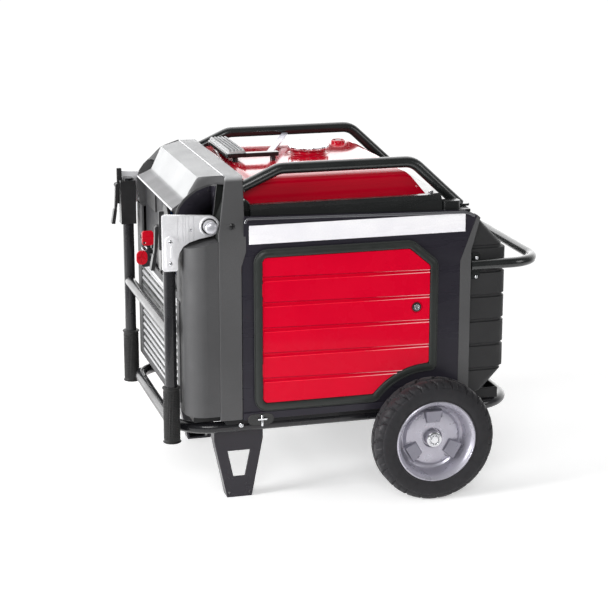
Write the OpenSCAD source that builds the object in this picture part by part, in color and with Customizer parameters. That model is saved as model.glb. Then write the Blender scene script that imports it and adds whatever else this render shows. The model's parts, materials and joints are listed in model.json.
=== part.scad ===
// Wheeled inverter generator: tube chassis, closed body, folding handles, two wheels.
// Front (handle and control end) is -X, the wheels are towards +X, the locked door
// that faces the viewer is on -Y. Left means the -Y side, right means the +Y side.

/* [Overall] */
// Width over the wheels
width = 700; // [696:1:716]
// Height to the top of the carrying rails
height = 721; // [719:1:735]
// Wheel diameter
wheel_d = 262; // [250:1:264]

/* [Chassis] */
// Diameter of the base and rail tube
tube_d = 24; // [20:1:25]
// Height of the base tube centre
base_z = 168; // [166:1:168]
// Diameter of the wheel axle
axle_d = 20; // [16:1:24]

/* [Body] */
// Width of the body
body_w = 564; // [560:1:566]
// Underside of the body
body_z = 205; // [200:1:208]
// Sheet thickness of the covers
wall = 4; // [3:1:5]
// Height of the deck around the tank
deck_z = 612; // [608:1:614]

/* [Handle] */
// How far the handle tubes stand from the middle plane
handle_y = 228; // [227:0.5:229]
// Outside diameter of the rubber grips
grip_d = 35; // [31:1:36]
// Angle the handle lifts through
handle_lift = 90; // [60:1:90]

/* [Hidden] */
$fn = 48;
half = body_w / 2;
top_half = 227;
shoulder_z = 625;
top_z = 697;
face_x = -361;
seam_x = -293;
panel_x0 = -245;
panel_x1 = 225;
rear_x0 = 250;
rear_x1 = 340;
rear_half = half - 20;
panel_t = 6;
gap = 0.4;
pivot = [-305, 602];
handle_x = -385;
handle_tube_d = 25;
plate_y = handle_y + handle_tube_d / 2 + 0.1;
plate_t = 11.5;
base_half = 238;
base_x0 = -376;
base_x1 = 366;
wheel_x = 157;
wheel_z = wheel_d / 2;
tyre_w = 60;
wheel_y0 = width / 2 - tyre_w;
hub_r = 22;
door_x0 = -203;
door_x1 = 157;
door_z0 = 229;
door_z1 = 537;
door_out = half + 6;
door_t = 10;
hinge = [door_x0 - 3, half + 2];
lock_pos = [129, 411];
cap_pos = [-15, 40];
tank_top = 688;
key_pos = [32, 520];
panel_face = -352;

// ---- helpers ----

// Profile drawn in (y, z), run along X from x0 to x1.
module along_x(x0, x1) {
    translate([x0, 0, 0]) rotate([90, 0, 90]) linear_extrude(x1 - x0) children();
}

// Profile drawn in (x, z), run along Y from y0 to y1.
module along_y(y0, y1) {
    translate([0, y1, 0]) rotate([90, 0, 0]) linear_extrude(y1 - y0) children();
}

// Profile drawn in (x, y), run along Z from z0 to z1.
module along_z(z0, z1) {
    translate([0, 0, z0]) linear_extrude(z1 - z0) children();
}

module block(lo, hi) {
    translate(lo) cube(hi - lo);
}

module right_side() {
    mirror([0, 1, 0]) children();
}

module both_sides() {
    children();
    right_side() children();
}

module rounded_rect(x0, y0, x1, y1, r) {
    translate([x0 + r, y0]) square([x1 - x0 - 2 * r, y1 - y0]);
    translate([x0, y0 + r]) square([x1 - x0, y1 - y0 - 2 * r]);
    for (x = [x0 + r, x1 - r], y = [y0 + r, y1 - r]) translate([x, y]) circle(r);
}

function unit(v) = v / norm(v);
function turn(p, i) = acos(unit(p[i] - p[i - 1]) * unit(p[i + 1] - p[i]));
function cut_back(p, i, bend) = i == 0 || i == len(p) - 1 ? 0 : bend * tan(turn(p, i) / 2);
function turns_left(p, i) = cross(p[i] - p[i - 1], p[i + 1] - p[i]) > 0;

// Round bar bent in the XY plane through the points p.
module bent_tube(p, bend, d) {
    for (i = [0:len(p) - 2]) {
        u = unit(p[i + 1] - p[i]);
        start = p[i] + u * cut_back(p, i, bend);
        run = norm(p[i + 1] - p[i]) - cut_back(p, i, bend) - cut_back(p, i + 1, bend);
        translate([start.x, start.y, 0]) rotate([0, 90, atan2(u.y, u.x)]) cylinder(h = run, d = d);
    }
    for (i = [1:len(p) - 2]) {
        into = unit(p[i] - p[i - 1]);
        out = unit(p[i + 1] - p[i]);
        side = turns_left(p, i) ? 1 : -1;
        first = p[i] - into * cut_back(p, i, bend);
        last = p[i] + out * cut_back(p, i, bend);
        centre = first + side * bend * [-into.y, into.x];
        from = side > 0 ? first - centre : last - centre;
        translate([centre.x, centre.y, 0]) rotate([0, 0, atan2(from.y, from.x)])
            rotate_extrude(angle = turn(p, i)) translate([bend, 0]) circle(d = d);
    }
}

// Body cross-section with sloped shoulders, drawn in (y, z), drawn in by inset.
module body_section(inset) {
    polygon([[-half + inset, body_z], [-half + inset, shoulder_z - inset / 2],
        [-top_half + inset * 0.8, top_z - inset], [top_half - inset * 0.8, top_z - inset],
        [half - inset, shoulder_z - inset / 2], [half - inset, body_z]]);
}

// ---- chassis ----

// Base loop with three cross members and the brackets that carry the axle.
module base_frame() {
    bend = 85;
    loop = [[0, base_half], [base_x0, base_half], [base_x0, -base_half], [base_x1, -base_half],
        [base_x1, base_half], [-0.01, base_half]];
    color("#1d1d1f") {
        translate([0, 0, base_z]) bent_tube(loop, bend, tube_d);
        for (x = [-235, 0, 250]) translate([x, -base_half, base_z])
            rotate([-90, 0, 0]) cylinder(h = 2 * base_half, d = tube_d - 4);
        both_sides() difference() {
            block([wheel_x - 30, -base_half - 4, wheel_z - 22], [wheel_x + 30, -base_half + 4, base_z]);
            translate([wheel_x, 0, wheel_z]) rotate([90, 0, 0]) cylinder(h = width, d = axle_d);
        }
    }
}

// Pressed tray between the base tubes.
module base_pan() {
    pan_z = base_z + tube_d / 2 + 0.2;
    pan_y = base_half - 2;
    color("#2a2a2c") difference() {
        block([-340, -pan_y, pan_z], [335, pan_y, body_z - 1]);
        block([-340 + wall, -pan_y + wall, pan_z + wall], [335 - wall, pan_y - wall, body_z]);
    }
}

// Carrying hoop over one long side of the tank.
module rail() {
    y = -top_half + 1;
    z = height - tube_d / 2;
    foot_x = 241;
    hoop = [[-230, 674], [-152, z], [136, z], [foot_x, deck_z + 0.1]];
    color("#141416") {
        translate([0, y, 0]) rotate([90, 0, 0]) bent_tube(hoop, 45, tube_d);
        along_z(deck_z + 0.1, deck_z + 5) translate([foot_x, y]) rounded_rect(-24, -20, 18, 20, 8);
    }
}

// Bar that wraps round the rear end of the body.
module rear_handle() {
    z = 490;
    d = 22;
    y = rear_half + d / 2 + 0.5;
    loop = [[252, y], [413, y], [413, -y], [252, -y]];
    color("#1b1b1d") {
        translate([0, 0, z]) bent_tube(loop, 70, d);
        both_sides() along_y(-y + d / 2 - 3, -y + d / 2)
            rounded_rect(rear_x0 + 2, z - 32, rear_x0 + 26, z + 24, 6);
    }
}

// Two pressed legs with slanted side flanges and a lightening window.
module feet() {
    top = base_z - (tube_d - 4) / 2 - 0.1;
    y = 213;
    t = 4;
    color("#232226") both_sides() {
        difference() {
            along_y(-y, -y + t)
                polygon([[-292, top], [-186, top], [-186, 128], [-211, 0], [-265, 0], [-292, 128]]);
            along_y(-y - 1, -y + t + 1)
                polygon([[-263, 104], [-214, 104], [-226, 46], [-251, 46]]);
            for (x = [-261, -215]) translate([x, -y, 9]) rotate([90, 0, 0])
                cylinder(h = 3 * t, r = 3.2, center = true);
        }
        for (side = [[-292, -265, 5], [-186, -211, -5]]) along_y(-y + 1, -y + 30)
            polygon([[side[0], top], [side[0], 128], [side[1], 0], [side[1] + side[2], 0],
                [side[0] + side[2], 128], [side[0] + side[2], top]]);
        block([-262, -y + 1, 0], [-214, -y + 30, t]);
        block([-289, -y + 1, top - t], [-189, -y + 30, top]);
    }
}

// Fixed cross shaft with end washers that keep the wheels on.
module axle() {
    end = width / 2 - 17;
    color("#b9bcc0") translate([wheel_x, 0, wheel_z]) rotate([90, 0, 0]) {
        cylinder(h = 2 * end, d = axle_d, center = true);
        for (s = [-1, 1]) translate([0, 0, s * (end + 2)]) cylinder(h = 4, d = axle_d + 12, center = true);
    }
}

// ---- body shell ----

// Front seam of the band, leaning back over the shoulder.
function seam_profile(shift) = [[seam_x + shift, body_z], [seam_x + shift, 590], [-265 + shift, top_z + 1]];

// Lower front shell with the side recesses for the handle brackets and the visor cheeks.
module front_housing() {
    r = 42;
    back = seam_x - gap;
    ledge = [[face_x, 560], [back, 575]];
    color("#4a4a4c") {
        intersection() {
            difference() {
                along_z(body_z, 600) housing_plan(0, r, back);
                along_z(body_z - 1, 601) housing_plan(wall, r - wall, back + 1);
                block([face_x - 1, -186, 452], [face_x + wall + 1, 186, 601]);
                block([face_x - 1, -216, 222], [face_x + wall + 1, 216, 438]);
            }
            along_y(-half - 1, half + 1)
                polygon([[face_x, body_z], ledge[0], ledge[1], [back, body_z]]);
        }
        both_sides() {
            intersection() {
                along_z(540, 600) difference() {
                    housing_plan(wall, r - wall, back);
                    translate([-400, -188]) square([200, 400]);
                }
                along_y(-half, half)
                    polygon([ledge[0], ledge[1], ledge[1] - [0, wall], ledge[0] - [0, wall]]);
            }
            intersection() {
                along_z(560 - wall, top_z - 1) polygon([[-371, -207], [-291, -207], [-281, -216],
                    [-281, -220], [-292, -211], [-371, -211]]);
                along_y(-half, half) polygon([[-358, 556], [-368, 598], [-366, 620], [-361, 636],
                    [-351, 650], [-340, 660], [-323, 672], [-300, 680], [-281, 682], [-287, 622],
                    [-299, 575], [-320, 565]]);
            }
            difference() {
                translate([pivot.x, 0, pivot.y]) rotate([90, 0, 0])
                    translate([0, 0, 202]) cylinder(h = plate_y - 202 - 0.3, r = 15);
                translate([pivot.x, 0, pivot.y]) rotate([90, 0, 0]) cylinder(h = half, r = 7.95);
            }
        }
    }
}

// Plan of the front shell: rounded front corners, open to the back.
module housing_plan(inset, r, back) {
    x = face_x + inset;
    y = half - inset;
    translate([x + r, -y]) square([back - x - r, 2 * y]);
    translate([x, -y + r]) square([r + 1, 2 * (y - r)]);
    for (s = [-1, 1]) translate([x + r, s * (y - r)]) circle(r);
}

// Arch-shaped band behind the front shell, with the back wall of the bracket recess.
module front_band() {
    skin = 6;
    color("#525254") {
        intersection() {
            along_x(-300, -225) difference() {
                body_section(0);
                body_section(skin);
            }
            along_y(-half, half) polygon(concat(seam_profile(0),
                [[-233, top_z + 1], [-240, 624], [panel_x0 - gap, 530], [panel_x0 - gap, body_z]]));
        }
        intersection() {
            along_x(-300, -225) difference() {
                body_section(skin);
                translate([-190, 0]) square([380, 800]);
            }
            along_y(-half, half) polygon([[-281, body_z], [-281, 590], [-253, top_z],
                [-249, top_z], [-277, 590], [-277, body_z]]);
        }
    }
}

// Door outline in (x, z): chamfered top rear corner and a wheel arch, grown by g.
module door_outline(g) {
    arch_r = wheel_d / 2 + 26 - g;
    x0 = door_x0 - g;
    x1 = door_x1 + g;
    z0 = door_z0 - g;
    z1 = door_z1 + g;
    difference() {
        polygon([[x0, z0 + 12], [x0 + 12, z0], [x1, z0], [x1, z1 - 38], [x1 - 45, z1],
            [x0 + 12, z1], [x0, z1 - 12]]);
        translate([wheel_x, wheel_z]) circle(arch_r, $fn = 96);
    }
}

// Side cover with the door opening and the fixed hinge pins.
module side_panel() {
    color("#34323b") {
        difference() {
            along_y(-half, -half + panel_t)
                polygon([[panel_x0, body_z], [panel_x0, 530], [-239, 624], [236, 611],
                    [261, 599], [panel_x1, 502], [panel_x1, body_z]]);
            along_y(-half - 1, -half + panel_t + 1) door_outline(9);
        }
        for (z = [300, 470]) {
            translate([hinge.x, -hinge.y, z - 18]) cylinder(h = 36, r = 2);
            for (s = [-18, 14]) block([hinge.x - 8.5, -hinge.y - 2, z + s], [hinge.x + 2, -half + panel_t, z + s + 4]);
        }
    }
}

// Rubber bead round each door opening.
module door_seals() {
    color("#262826") both_sides() difference() {
        along_y(-half + 1, -half + panel_t) door_outline(8.6);
        along_y(-half, -half + panel_t + 1) door_outline(1.2);
        for (z = [300, 470]) block([hinge.x - 20, -half - 5, z - 19], [hinge.x + 6, -half + 20, z + 19]);
    }
}

// Hinged maintenance door with five pressed steps.
module door() {
    pitch = 53.7;
    color("#cc0420") {
        difference() {
            along_y(-door_out, -door_out + door_t) door_outline(0);
            for (i = [0:5]) block([door_x0 - 1, -door_out - 1, door_z0 + 43 + i * pitch],
                [door_x1 + 1, -door_out + 1.5, door_z0 + 49 + i * pitch]);
            translate([lock_pos.x, 0, lock_pos.y]) rotate([90, 0, 0]) cylinder(h = half + 20, r = 7.05);
            for (z = [300, 470]) block([door_x0 - 1, -door_out - 1, z - 19], [door_x0 + 3, -door_out + door_t + 1, z + 19]);
        }
        for (z = [300, 470]) difference() {
            union() {
                translate([hinge.x, -hinge.y, z - 13.5]) cylinder(h = 27, r = 4);
                block([hinge.x, -hinge.y - 2, z - 13.5], [door_x0 + 4, -hinge.y + 2, z + 13.5]);
            }
            translate([hinge.x, -hinge.y, z - 15]) cylinder(h = 30, r = 2.05);
        }
    }
}

// Key lock in the door, with a short cam behind it.
module door_lock() {
    color("#c8cacd") {
        translate([lock_pos.x, -door_out - 1, lock_pos.y]) rotate([-90, 0, 0]) cylinder(h = door_t + 6, r = 7);
        along_y(-door_out + door_t + 0.4, -door_out + door_t + 4)
            rounded_rect(lock_pos.x - 6, lock_pos.y - 6, lock_pos.x + 20, lock_pos.y + 6, 5);
    }
}

// Blank light strip above each door.
module name_strips() {
    color("#dfe0e4") both_sides() along_y(-half - 1.5, -half - 0.05)
        polygon([[-230, 566], [-230, 605], [235, 605], [235, 566]]);
}

// Frame between the side covers and the rear cover.
module rear_band() {
    strip = [[panel_x1 + gap, body_z], [panel_x1 + gap, 502], [261.5, 599.5], [269, 593],
        [rear_x0, 524], [rear_x0, body_z]];
    color("#454548") {
        both_sides() along_y(-half, -rear_half - 0.4) polygon(strip);
        block([rear_x0 - 12, -rear_half - 0.4, body_z], [rear_x0, rear_half + 0.4, body_z + 8]);
        block([rear_x0 - 12, -rear_half - 0.4, 584], [rear_x0, rear_half + 0.4, 592]);
    }
}

// Rear hood with louvres and the tailpipe hole.
module rear_cover() {
    shell = [[rear_x0 + gap, body_z], [288, body_z], [rear_x1, 257], [rear_x1, 520],
        [269, 592], [rear_x0 + gap, 592]];
    hollow = [[rear_x0 - 1, body_z + wall], [286, body_z + wall], [rear_x1 - wall, 259],
        [rear_x1 - wall, 518], [267, 588], [rear_x0 - 1, 588]];
    color("#303031") difference() {
        along_y(-rear_half, rear_half) polygon(shell);
        along_y(-rear_half + wall, rear_half - wall) polygon(hollow);
        for (z = [300:22:432]) block([rear_x1 - wall - 2, -40, z], [rear_x1 + 1, 190, z + 10]);
        translate([rear_x1, -130, 400]) rotate([0, 90, 0]) cylinder(h = 20, r = 41, center = true);
    }
}

// Silver hood over the controls, in one pressing with a turned-out lip.
module visor() {
    t = 4;
    color("#c2c3c5") intersection() {
        along_y(-half, half) polygon([[-267.5, top_z], [-315, 692], [-340, 644], [-368, 629],
            [-370, 624], [-367, 623], [-338, 639], [-312, 688], [-267.5, top_z - t]]);
        along_z(600, 700) polygon([[-267.5, -221], [-315, -185], [-340, -177], [-371, -189],
            [-371, 189], [-340, 177], [-315, 185], [-267.5, 221]]);
    }
}

// Recessed plate that carries the sockets and switches.
module control_panel() {
    color("#2b2b2d") difference() {
        block([panel_face, -184, 440], [panel_face + wall, 184, 629]);
        translate([panel_face - 1, key_pos.x, key_pos.y]) rotate([0, 90, 0]) cylinder(h = 10, r = 3.05);
    }
}

// Louvred air intake in the lower front.
module intake_grille() {
    frame = 8;
    color("#6c6d70") {
        difference() {
            block([face_x - 1, -215.6, 222.4], [face_x + wall, 215.6, 437.6]);
            block([face_x - 2, -215.6 + frame, 222.4 + frame], [face_x + wall + 1, 215.6 - frame, 437.6 - frame]);
        }
        for (z = [236:15.5:425]) along_y(-208, 208)
            polygon([[face_x - 1, z], [face_x + 9, z + 8], [face_x + 9, z + 11], [face_x - 1, z + 3]]);
        for (y = [-104, 0, 104]) block([face_x + 9, y - 3, 224], [face_x + 13, y + 3, 436]);
    }
}

// Deck round the tank with a raised ridge on each side and a notch under each rail foot.
module top_cover() {
    color("#1f1f21") {
        difference() {
            block([-232, -half + panel_t + 0.4, deck_z - 6], [rear_x0 - 2, half - panel_t - 0.4, deck_z]);
            block([-226.5, -209, deck_z - 7], [180, 209, deck_z + 1]);
            both_sides() block([221, -top_half - 14, deck_z - 7], [rear_x0, -top_half + 16, deck_z + 1]);
        }
        both_sides() {
            along_x(-222, 186) polygon([[-274, deck_z], [-272, 636], [-264, 644], [-250, 644],
                [-240, 630], [-240, deck_z]]);
            along_z(deck_z, deck_z + 18) rounded_rect(187, -272, 228, -248, 8);
        }
    }
}

// ---- fuel system ----

// Pressed steel tank between the rails, with the filler neck.
module fuel_tank() {
    neck_r = 40;
    color("#cf0a24") difference() {
        union() {
            tank_body(0);
            tank_brace();
            translate([cap_pos.x, cap_pos.y, tank_top - 10]) cylinder(h = 18, r = neck_r);
        }
        tank_body(3);
        translate([cap_pos.x, cap_pos.y, tank_top - 20]) cylinder(h = 40, r = neck_r - 10);
    }
}

module tank_body(inset) {
    intersection() {
        along_x(-224 + inset, 178 - inset) polygon([[-206 + inset, 560 + inset], [-206 + inset, 664],
            [-184, tank_top - inset], [184, tank_top - inset], [206 - inset, 664], [206 - inset, 560 + inset]]);
        along_y(-210, 210) polygon([[-224 + inset, 560], [-224 + inset, 660], [-206, tank_top],
            [128, tank_top], [178 - inset, 628], [178 - inset, 560]]);
    }
}

// Black frame on the tank with a ribbed pad and a flat stay that runs to the far rail.
module tank_brace() {
    z = tank_top + 10;
    for (p = [[-195, -23], [-195, 130], [-112, -23]]) translate([p.x, p.y, tank_top - 2])
        cylinder(h = z - tank_top + 4, r = 6);
    block([-216, -32, z], [-171, 150, z + 9]);
    block([-180, -32, z], [-100, -14, z + 9]);
    block([-213, -29, z + 8], [-174, 147, z + 14]);
    for (i = [0:4]) block([-211 + i * 7.6, -29, z + 13], [-207 + i * 7.6, 147, z + 17]);
    translate([-114, -24, z + 2]) rotate([0, 0, 67.1]) cube([251, 14, 5]);
}

module fuel_gauge() {
    color("#b01020") translate([86, 150, tank_top]) {
        cylinder(h = 5, r = 16);
        cylinder(h = 7, r = 11);
    }
}

// Soft plug that seals the neck and turns with nothing but its own lift.
module cap_gasket() {
    color("#202020") translate([cap_pos.x, cap_pos.y, 0]) difference() {
        translate([0, 0, 676]) cylinder(h = 20.4, r = 29.6);
        translate([0, 0, 675]) cylinder(h = 30, r = 8.05);
    }
}

// Domed cap with a grip skirt and a stem through the gasket.
module fuel_cap() {
    color("#c9cbce") translate([cap_pos.x, cap_pos.y, 0]) {
        translate([0, 0, 680]) cylinder(h = 17, r = 8);
        translate([0, 0, 696.8]) cylinder(h = 11.2, r = 45);
        translate([0, 0, 708]) intersection() {
            cylinder(h = 8, r = 40);
            translate([0, 0, -96]) sphere(r = 104, $fn = 64);
        }
    }
}

// ---- engine bay ----

module engine_mounts() {
    color("#1c1c1c") for (x = [-40, 110], y = [-80, 80])
        translate([x, y, base_z + tube_d / 2 + wall + 0.4]) cylinder(h = 17, r = 20);
}

// Crankcase with the crankshaft bore towards the front.
module engine_block() {
    color("#8b8d90") difference() {
        union() {
            block([-70, -110, 202], [140, 110, 372]);
            translate([-90, 0, 290]) rotate([0, 90, 0]) cylinder(h = 20, r = 60);
        }
        translate([-91, 0, 290]) rotate([0, 90, 0]) cylinder(h = 160, r = 18.05);
    }
}

// Air-cooled head with cooling fins.
module cylinder_head() {
    color("#a3a5a8") {
        block([-10, -60, 372.2], [100, 60, 470]);
        for (z = [385:14:455]) block([-26, -76, z], [116, 76, z + 5]);
    }
}

module stator() {
    color("#6f4b2c") translate([-187.5, 0, 290]) rotate([0, 90, 0]) difference() {
        cylinder(h = 96.5, r = 100);
        translate([0, 0, -1]) cylinder(h = 99, r = 76);
    }
}

// Magnet rotor, cooling fan and crankshaft in one turning piece.
module rotor() {
    color("#77787c") translate([0, 0, 290]) rotate([0, 90, 0]) {
        translate([0, 0, -188]) cylinder(h = 90, r = 74);
        translate([0, 0, -188]) cylinder(h = 250, r = 18);
        translate([0, 0, -206]) cylinder(h = 17, r = 96);
    }
}

module muffler() {
    color("#8e8a84") {
        along_x(190, 300) rounded_rect(-190, 320, -60, 480, 25);
        translate([299, -130, 400]) rotate([0, 90, 0]) cylinder(h = 46, r = 20);
        translate([141, -100, 400]) rotate([0, 90, 0]) cylinder(h = 50, r = 16);
    }
}

module exhaust_outlet() {
    color("#7d7a76") translate([0, -130, 400]) rotate([0, 90, 0]) translate([0, 0, rear_x1 - wall]) difference() {
        cylinder(h = 8, r = 40);
        translate([0, 0, -1]) cylinder(h = 10, r = 21);
    }
}

module air_cleaner() {
    color("#2c2c2e") along_z(390, 520) rounded_rect(-190, 125, -40, 235, 18);
}

module battery() {
    color("#3a3a3d") {
        block([-225, -228, 190], [-110, -125, 300]);
        for (x = [-205, -130]) translate([x, -205, 300]) cylinder(h = 12, r = 7);
    }
}

// Sealed power electronics on a finned heat sink behind the intake.
module inverter_unit() {
    color("#9b9da0") {
        block([-320, -170, 215], [-250, 170, 400]);
        for (y = [-160:20:160]) block([-336, y - 2, 220], [-320, y + 2, 395]);
    }
}

// ---- fittings on the control panel ----

module sockets() {
    color("#3c5f9e") for (p = [[-60, 500], [-130, 500], [-95, 584]])
        translate([panel_face - 5, p.x, p.y]) rotate([0, 90, 0]) cylinder(h = 4.8, r = 24);
}

// Spring lid over one socket, hinged along its top edge.
module socket_lid(y, z) {
    color("#2a4f96") {
        along_x(panel_face - 12, panel_face - 7) rounded_rect(y - 27, z - 27, y + 27, z + 25, 6);
        translate([panel_face - 9.5, y - 20, z + 30]) rotate([-90, 0, 0]) cylinder(h = 40, r = 3);
        block([panel_face - 12, y - 20, z + 24], [panel_face - 7, y + 20, z + 30]);
    }
}

// Monitor window, key barrel, rocker bezel, reset buttons and terminals.
module panel_fittings() {
    color("#1a1a1c") {
        block([panel_face - 3, 60, 570], [panel_face, 150, 610]);
        difference() {
            translate([panel_face - 8, key_pos.x, key_pos.y]) rotate([0, 90, 0]) cylinder(h = 7.9, r = 13);
            translate([panel_face - 9, key_pos.x, key_pos.y]) rotate([0, 90, 0]) cylinder(h = 12, r = 3.05);
        }
        difference() {
            block([panel_face - 4, 80, 478], [panel_face, 104, 512]);
            block([panel_face - 5, 84, 482], [panel_face + 1, 100, 508]);
        }
        for (y = [124, 148]) translate([panel_face - 9, y, 470]) rotate([0, 90, 0]) cylinder(h = 8.9, r = 7);
        for (p = [[-95, 460], [-60, 460], [-25, 460]]) translate([panel_face - 12, p.x, p.y])
            rotate([0, 90, 0]) cylinder(h = 11.9, r = 5);
    }
}

// Rocker that tips about a cross pin.
module eco_rocker() {
    color("#3a3a3c") {
        along_y(85, 99) polygon([[panel_face - 8, 483.5], [panel_face - 6, 495], [panel_face - 8, 506.5],
            [panel_face - 2, 506], [panel_face - 1, 495], [panel_face - 2, 484]]);
        translate([panel_face - 4, 84.1, 495]) rotate([-90, 0, 0]) cylinder(h = 15.8, r = 1.6);
    }
}

module breaker_toggle() {
    color("#3b3b3d") {
        translate([panel_face - 6, 126, 500]) rotate([-90, 0, 0]) cylinder(h = 20, r = 5);
        block([panel_face - 24, 131, 497.5], [panel_face - 6, 141, 502.5]);
    }
}

// Key with a flat moulded head, its blade in the switch barrel.
module ignition_key() {
    color("#d0121f") {
        along_y(key_pos.x - 2.5, key_pos.x + 2.5) difference() {
            rounded_rect(panel_face - 39, key_pos.y - 16, panel_face - 14, key_pos.y + 16, 6);
            translate([panel_face - 34, key_pos.y - 10]) circle(3);
        }
        translate([panel_face - 15, key_pos.x, key_pos.y]) rotate([0, 90, 0]) cylinder(h = 17, r = 3);
    }
}

// Split ring with the second key and a tag, hanging from the first key.
module spare_key() {
    ring = [panel_face - 34, key_pos.y - 22];
    color("#c4161f") {
        translate([ring.x, key_pos.x - 7, ring.y]) rotate([90, 0, 0]) cylinder(h = 4, r = 5);
        translate([ring.x, key_pos.x + 11, ring.y]) rotate([90, 0, 0]) cylinder(h = 4, r = 5);
        translate([ring.x, key_pos.x + 11, ring.y]) rotate([90, 0, 0]) cylinder(h = 20, r = 1.2);
        along_y(key_pos.x - 11, key_pos.x - 7.05) rounded_rect(ring.x - 20, ring.y - 34, ring.x + 4, ring.y - 4, 11);
        along_y(key_pos.x + 7.05, key_pos.x + 11) rounded_rect(ring.x - 5, ring.y - 44, ring.x + 13, ring.y - 4, 4);
    }
}

// ---- folding handle ----

// Two bent-free tubes joined by a cross tube.
module handle_frame() {
    color("#161618") difference() {
        union() {
            both_sides() translate([handle_x, -handle_y, 144]) cylinder(h = 617 - 144, d = handle_tube_d);
            translate([handle_x, -handle_y, 378]) rotate([-90, 0, 0]) cylinder(h = 2 * handle_y, d = 23);
        }
        both_sides() translate([handle_x, -handle_y, 143]) cylinder(h = 225, d = handle_tube_d - 5);
    }
}

// Cast bracket from the pivot round to the tube.
module handle_bracket() {
    color("#cfd0d3") difference() {
        union() {
            along_y(-plate_y - plate_t, -plate_y) {
                translate(pivot) circle(21.6);
                polygon([[-402, 630], [-306, 623.5], [-300, 581.5], [-333, 575], [-356, 567],
                    [-368, 556], [-371, 542], [-371, 513], [-402, 513]]);
            }
            along_y(-plate_y - plate_t - 3, -plate_y - plate_t)
                rounded_rect(-396, 520, -377, 584, 9);
        }
        translate([pivot.x, 0, pivot.y]) rotate([90, 0, 0]) cylinder(h = half, r = 8.05);
    }
}

// Black latch block round the tube, with the lug that carries the lever.
module handle_lock() {
    color("#1b1b1c") {
        difference() {
            block([-403, -plate_y + 0.2, 513], [-369, -212, 612]);
            translate([handle_x, -handle_y, 500]) cylinder(h = 130, d = handle_tube_d + 0.02);
        }
        for (y = [-handle_y - 10, -handle_y + 6]) difference() {
            along_y(y, y + 4) {
                translate([-409, 600]) circle(5.5);
                translate([-409, 594.5]) square([6, 11]);
            }
            translate([-409, y - 1, 600]) rotate([-90, 0, 0]) cylinder(h = 6, r = 2.05);
        }
    }
}

// Release lever with a dipped end.
module lever() {
    color("#2b2b2c") difference() {
        union() {
            along_y(-handle_y - 5.6, -handle_y + 5.6) {
                translate([-409, 600]) circle(5);
                polygon([[-413, 600], [-405, 600], [-409, 560], [-412, 540], [-417, 540], [-415, 562]]);
            }
            along_y(-handle_y - 8, -handle_y + 8) polygon([[-411, 545], [-418, 546], [-423.9, 514], [-416, 513]]);
            translate([-409, -handle_y - 10, 600]) rotate([-90, 0, 0]) cylinder(h = 20, r = 2);
        }
    }
}

// Moulded grip pushed over the end of the tube.
module grip() {
    color("#1a1a1a") translate([handle_x, -handle_y, 0]) difference() {
        union() {
            translate([0, 0, 141]) cylinder(h = 121, d = grip_d);
            for (z = [141, 259]) translate([0, 0, z]) cylinder(h = 3, d = grip_d + 4);
        }
        translate([0, 0, 144]) cylinder(h = 130, d = handle_tube_d);
    }
}

// ---- wheels ----

module wheel_spin_profile(points) {
    translate([wheel_x, -wheel_y0, wheel_z]) rotate([90, 0, 0]) rotate_extrude($fn = 96) polygon(points);
}

// Solid tyre with square shoulders.
module tyre() {
    r = wheel_d / 2;
    rim_r = 84;
    color("#1f1f20") wheel_spin_profile([[rim_r, 6], [r - 12, 0], [r - 4, 6], [r, 14], [r, tyre_w - 14],
        [r - 4, tyre_w - 6], [r - 12, tyre_w], [rim_r + 4, tyre_w - 3], [rim_r, tyre_w - 6]]);
}

// Pressed rim with a dished disc, three lugs and the hub tube.
module rim() {
    r = 84;
    color("#8c8b91") {
        wheel_spin_profile([[r - 4, 8], [r - 0.05, 8], [r - 0.05, tyre_w - 8], [r - 4, tyre_w - 8], [r - 14, 34],
            [60, 26], [hub_r, 30], [hub_r, tyre_w - 18], [axle_d / 2 + 0.05, tyre_w - 18],
            [axle_d / 2 + 0.05, 4], [hub_r - 4, 4], [hub_r, 22], [60, 18], [r - 10, 26]]);
        translate([wheel_x, -wheel_y0 - 26, wheel_z]) rotate([90, 0, 0])
            for (a = [90, 210, 330]) rotate([0, 0, a]) translate([34, -16, 0]) cube([26, 32, 10]);
    }
}

// ---- fasteners ----

// Pivot bolts of the handle, screws of the front band, deck bolts and base studs.
module bolts() {
    color("#c6c8cc") both_sides() {
        translate([pivot.x, -plate_y - plate_t - 7.3, pivot.y]) rotate([-90, 0, 0]) {
            cylinder(h = 7, r = 13);
            cylinder(h = 45, r = 7.9);
        }
        translate([-266, -half - 3, 607]) rotate([-90, 0, 0]) cylinder(h = 2.9, r = 7);
        translate([170, -246, 644]) cylinder(h = 5, r = 6);
        translate([-239, -base_half - tube_d / 2 - 3, base_z]) rotate([-90, 0, 0]) cylinder(h = 2.9, r = 6);
        translate([-195, -base_half - 5, base_z + tube_d / 2 + 0.1]) cylinder(h = 20, r = 2.5);
        translate([-195 - 8, -base_half - 7, base_z + tube_d / 2 + 14]) cube([16, 4, 4]);
    }
}

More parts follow.
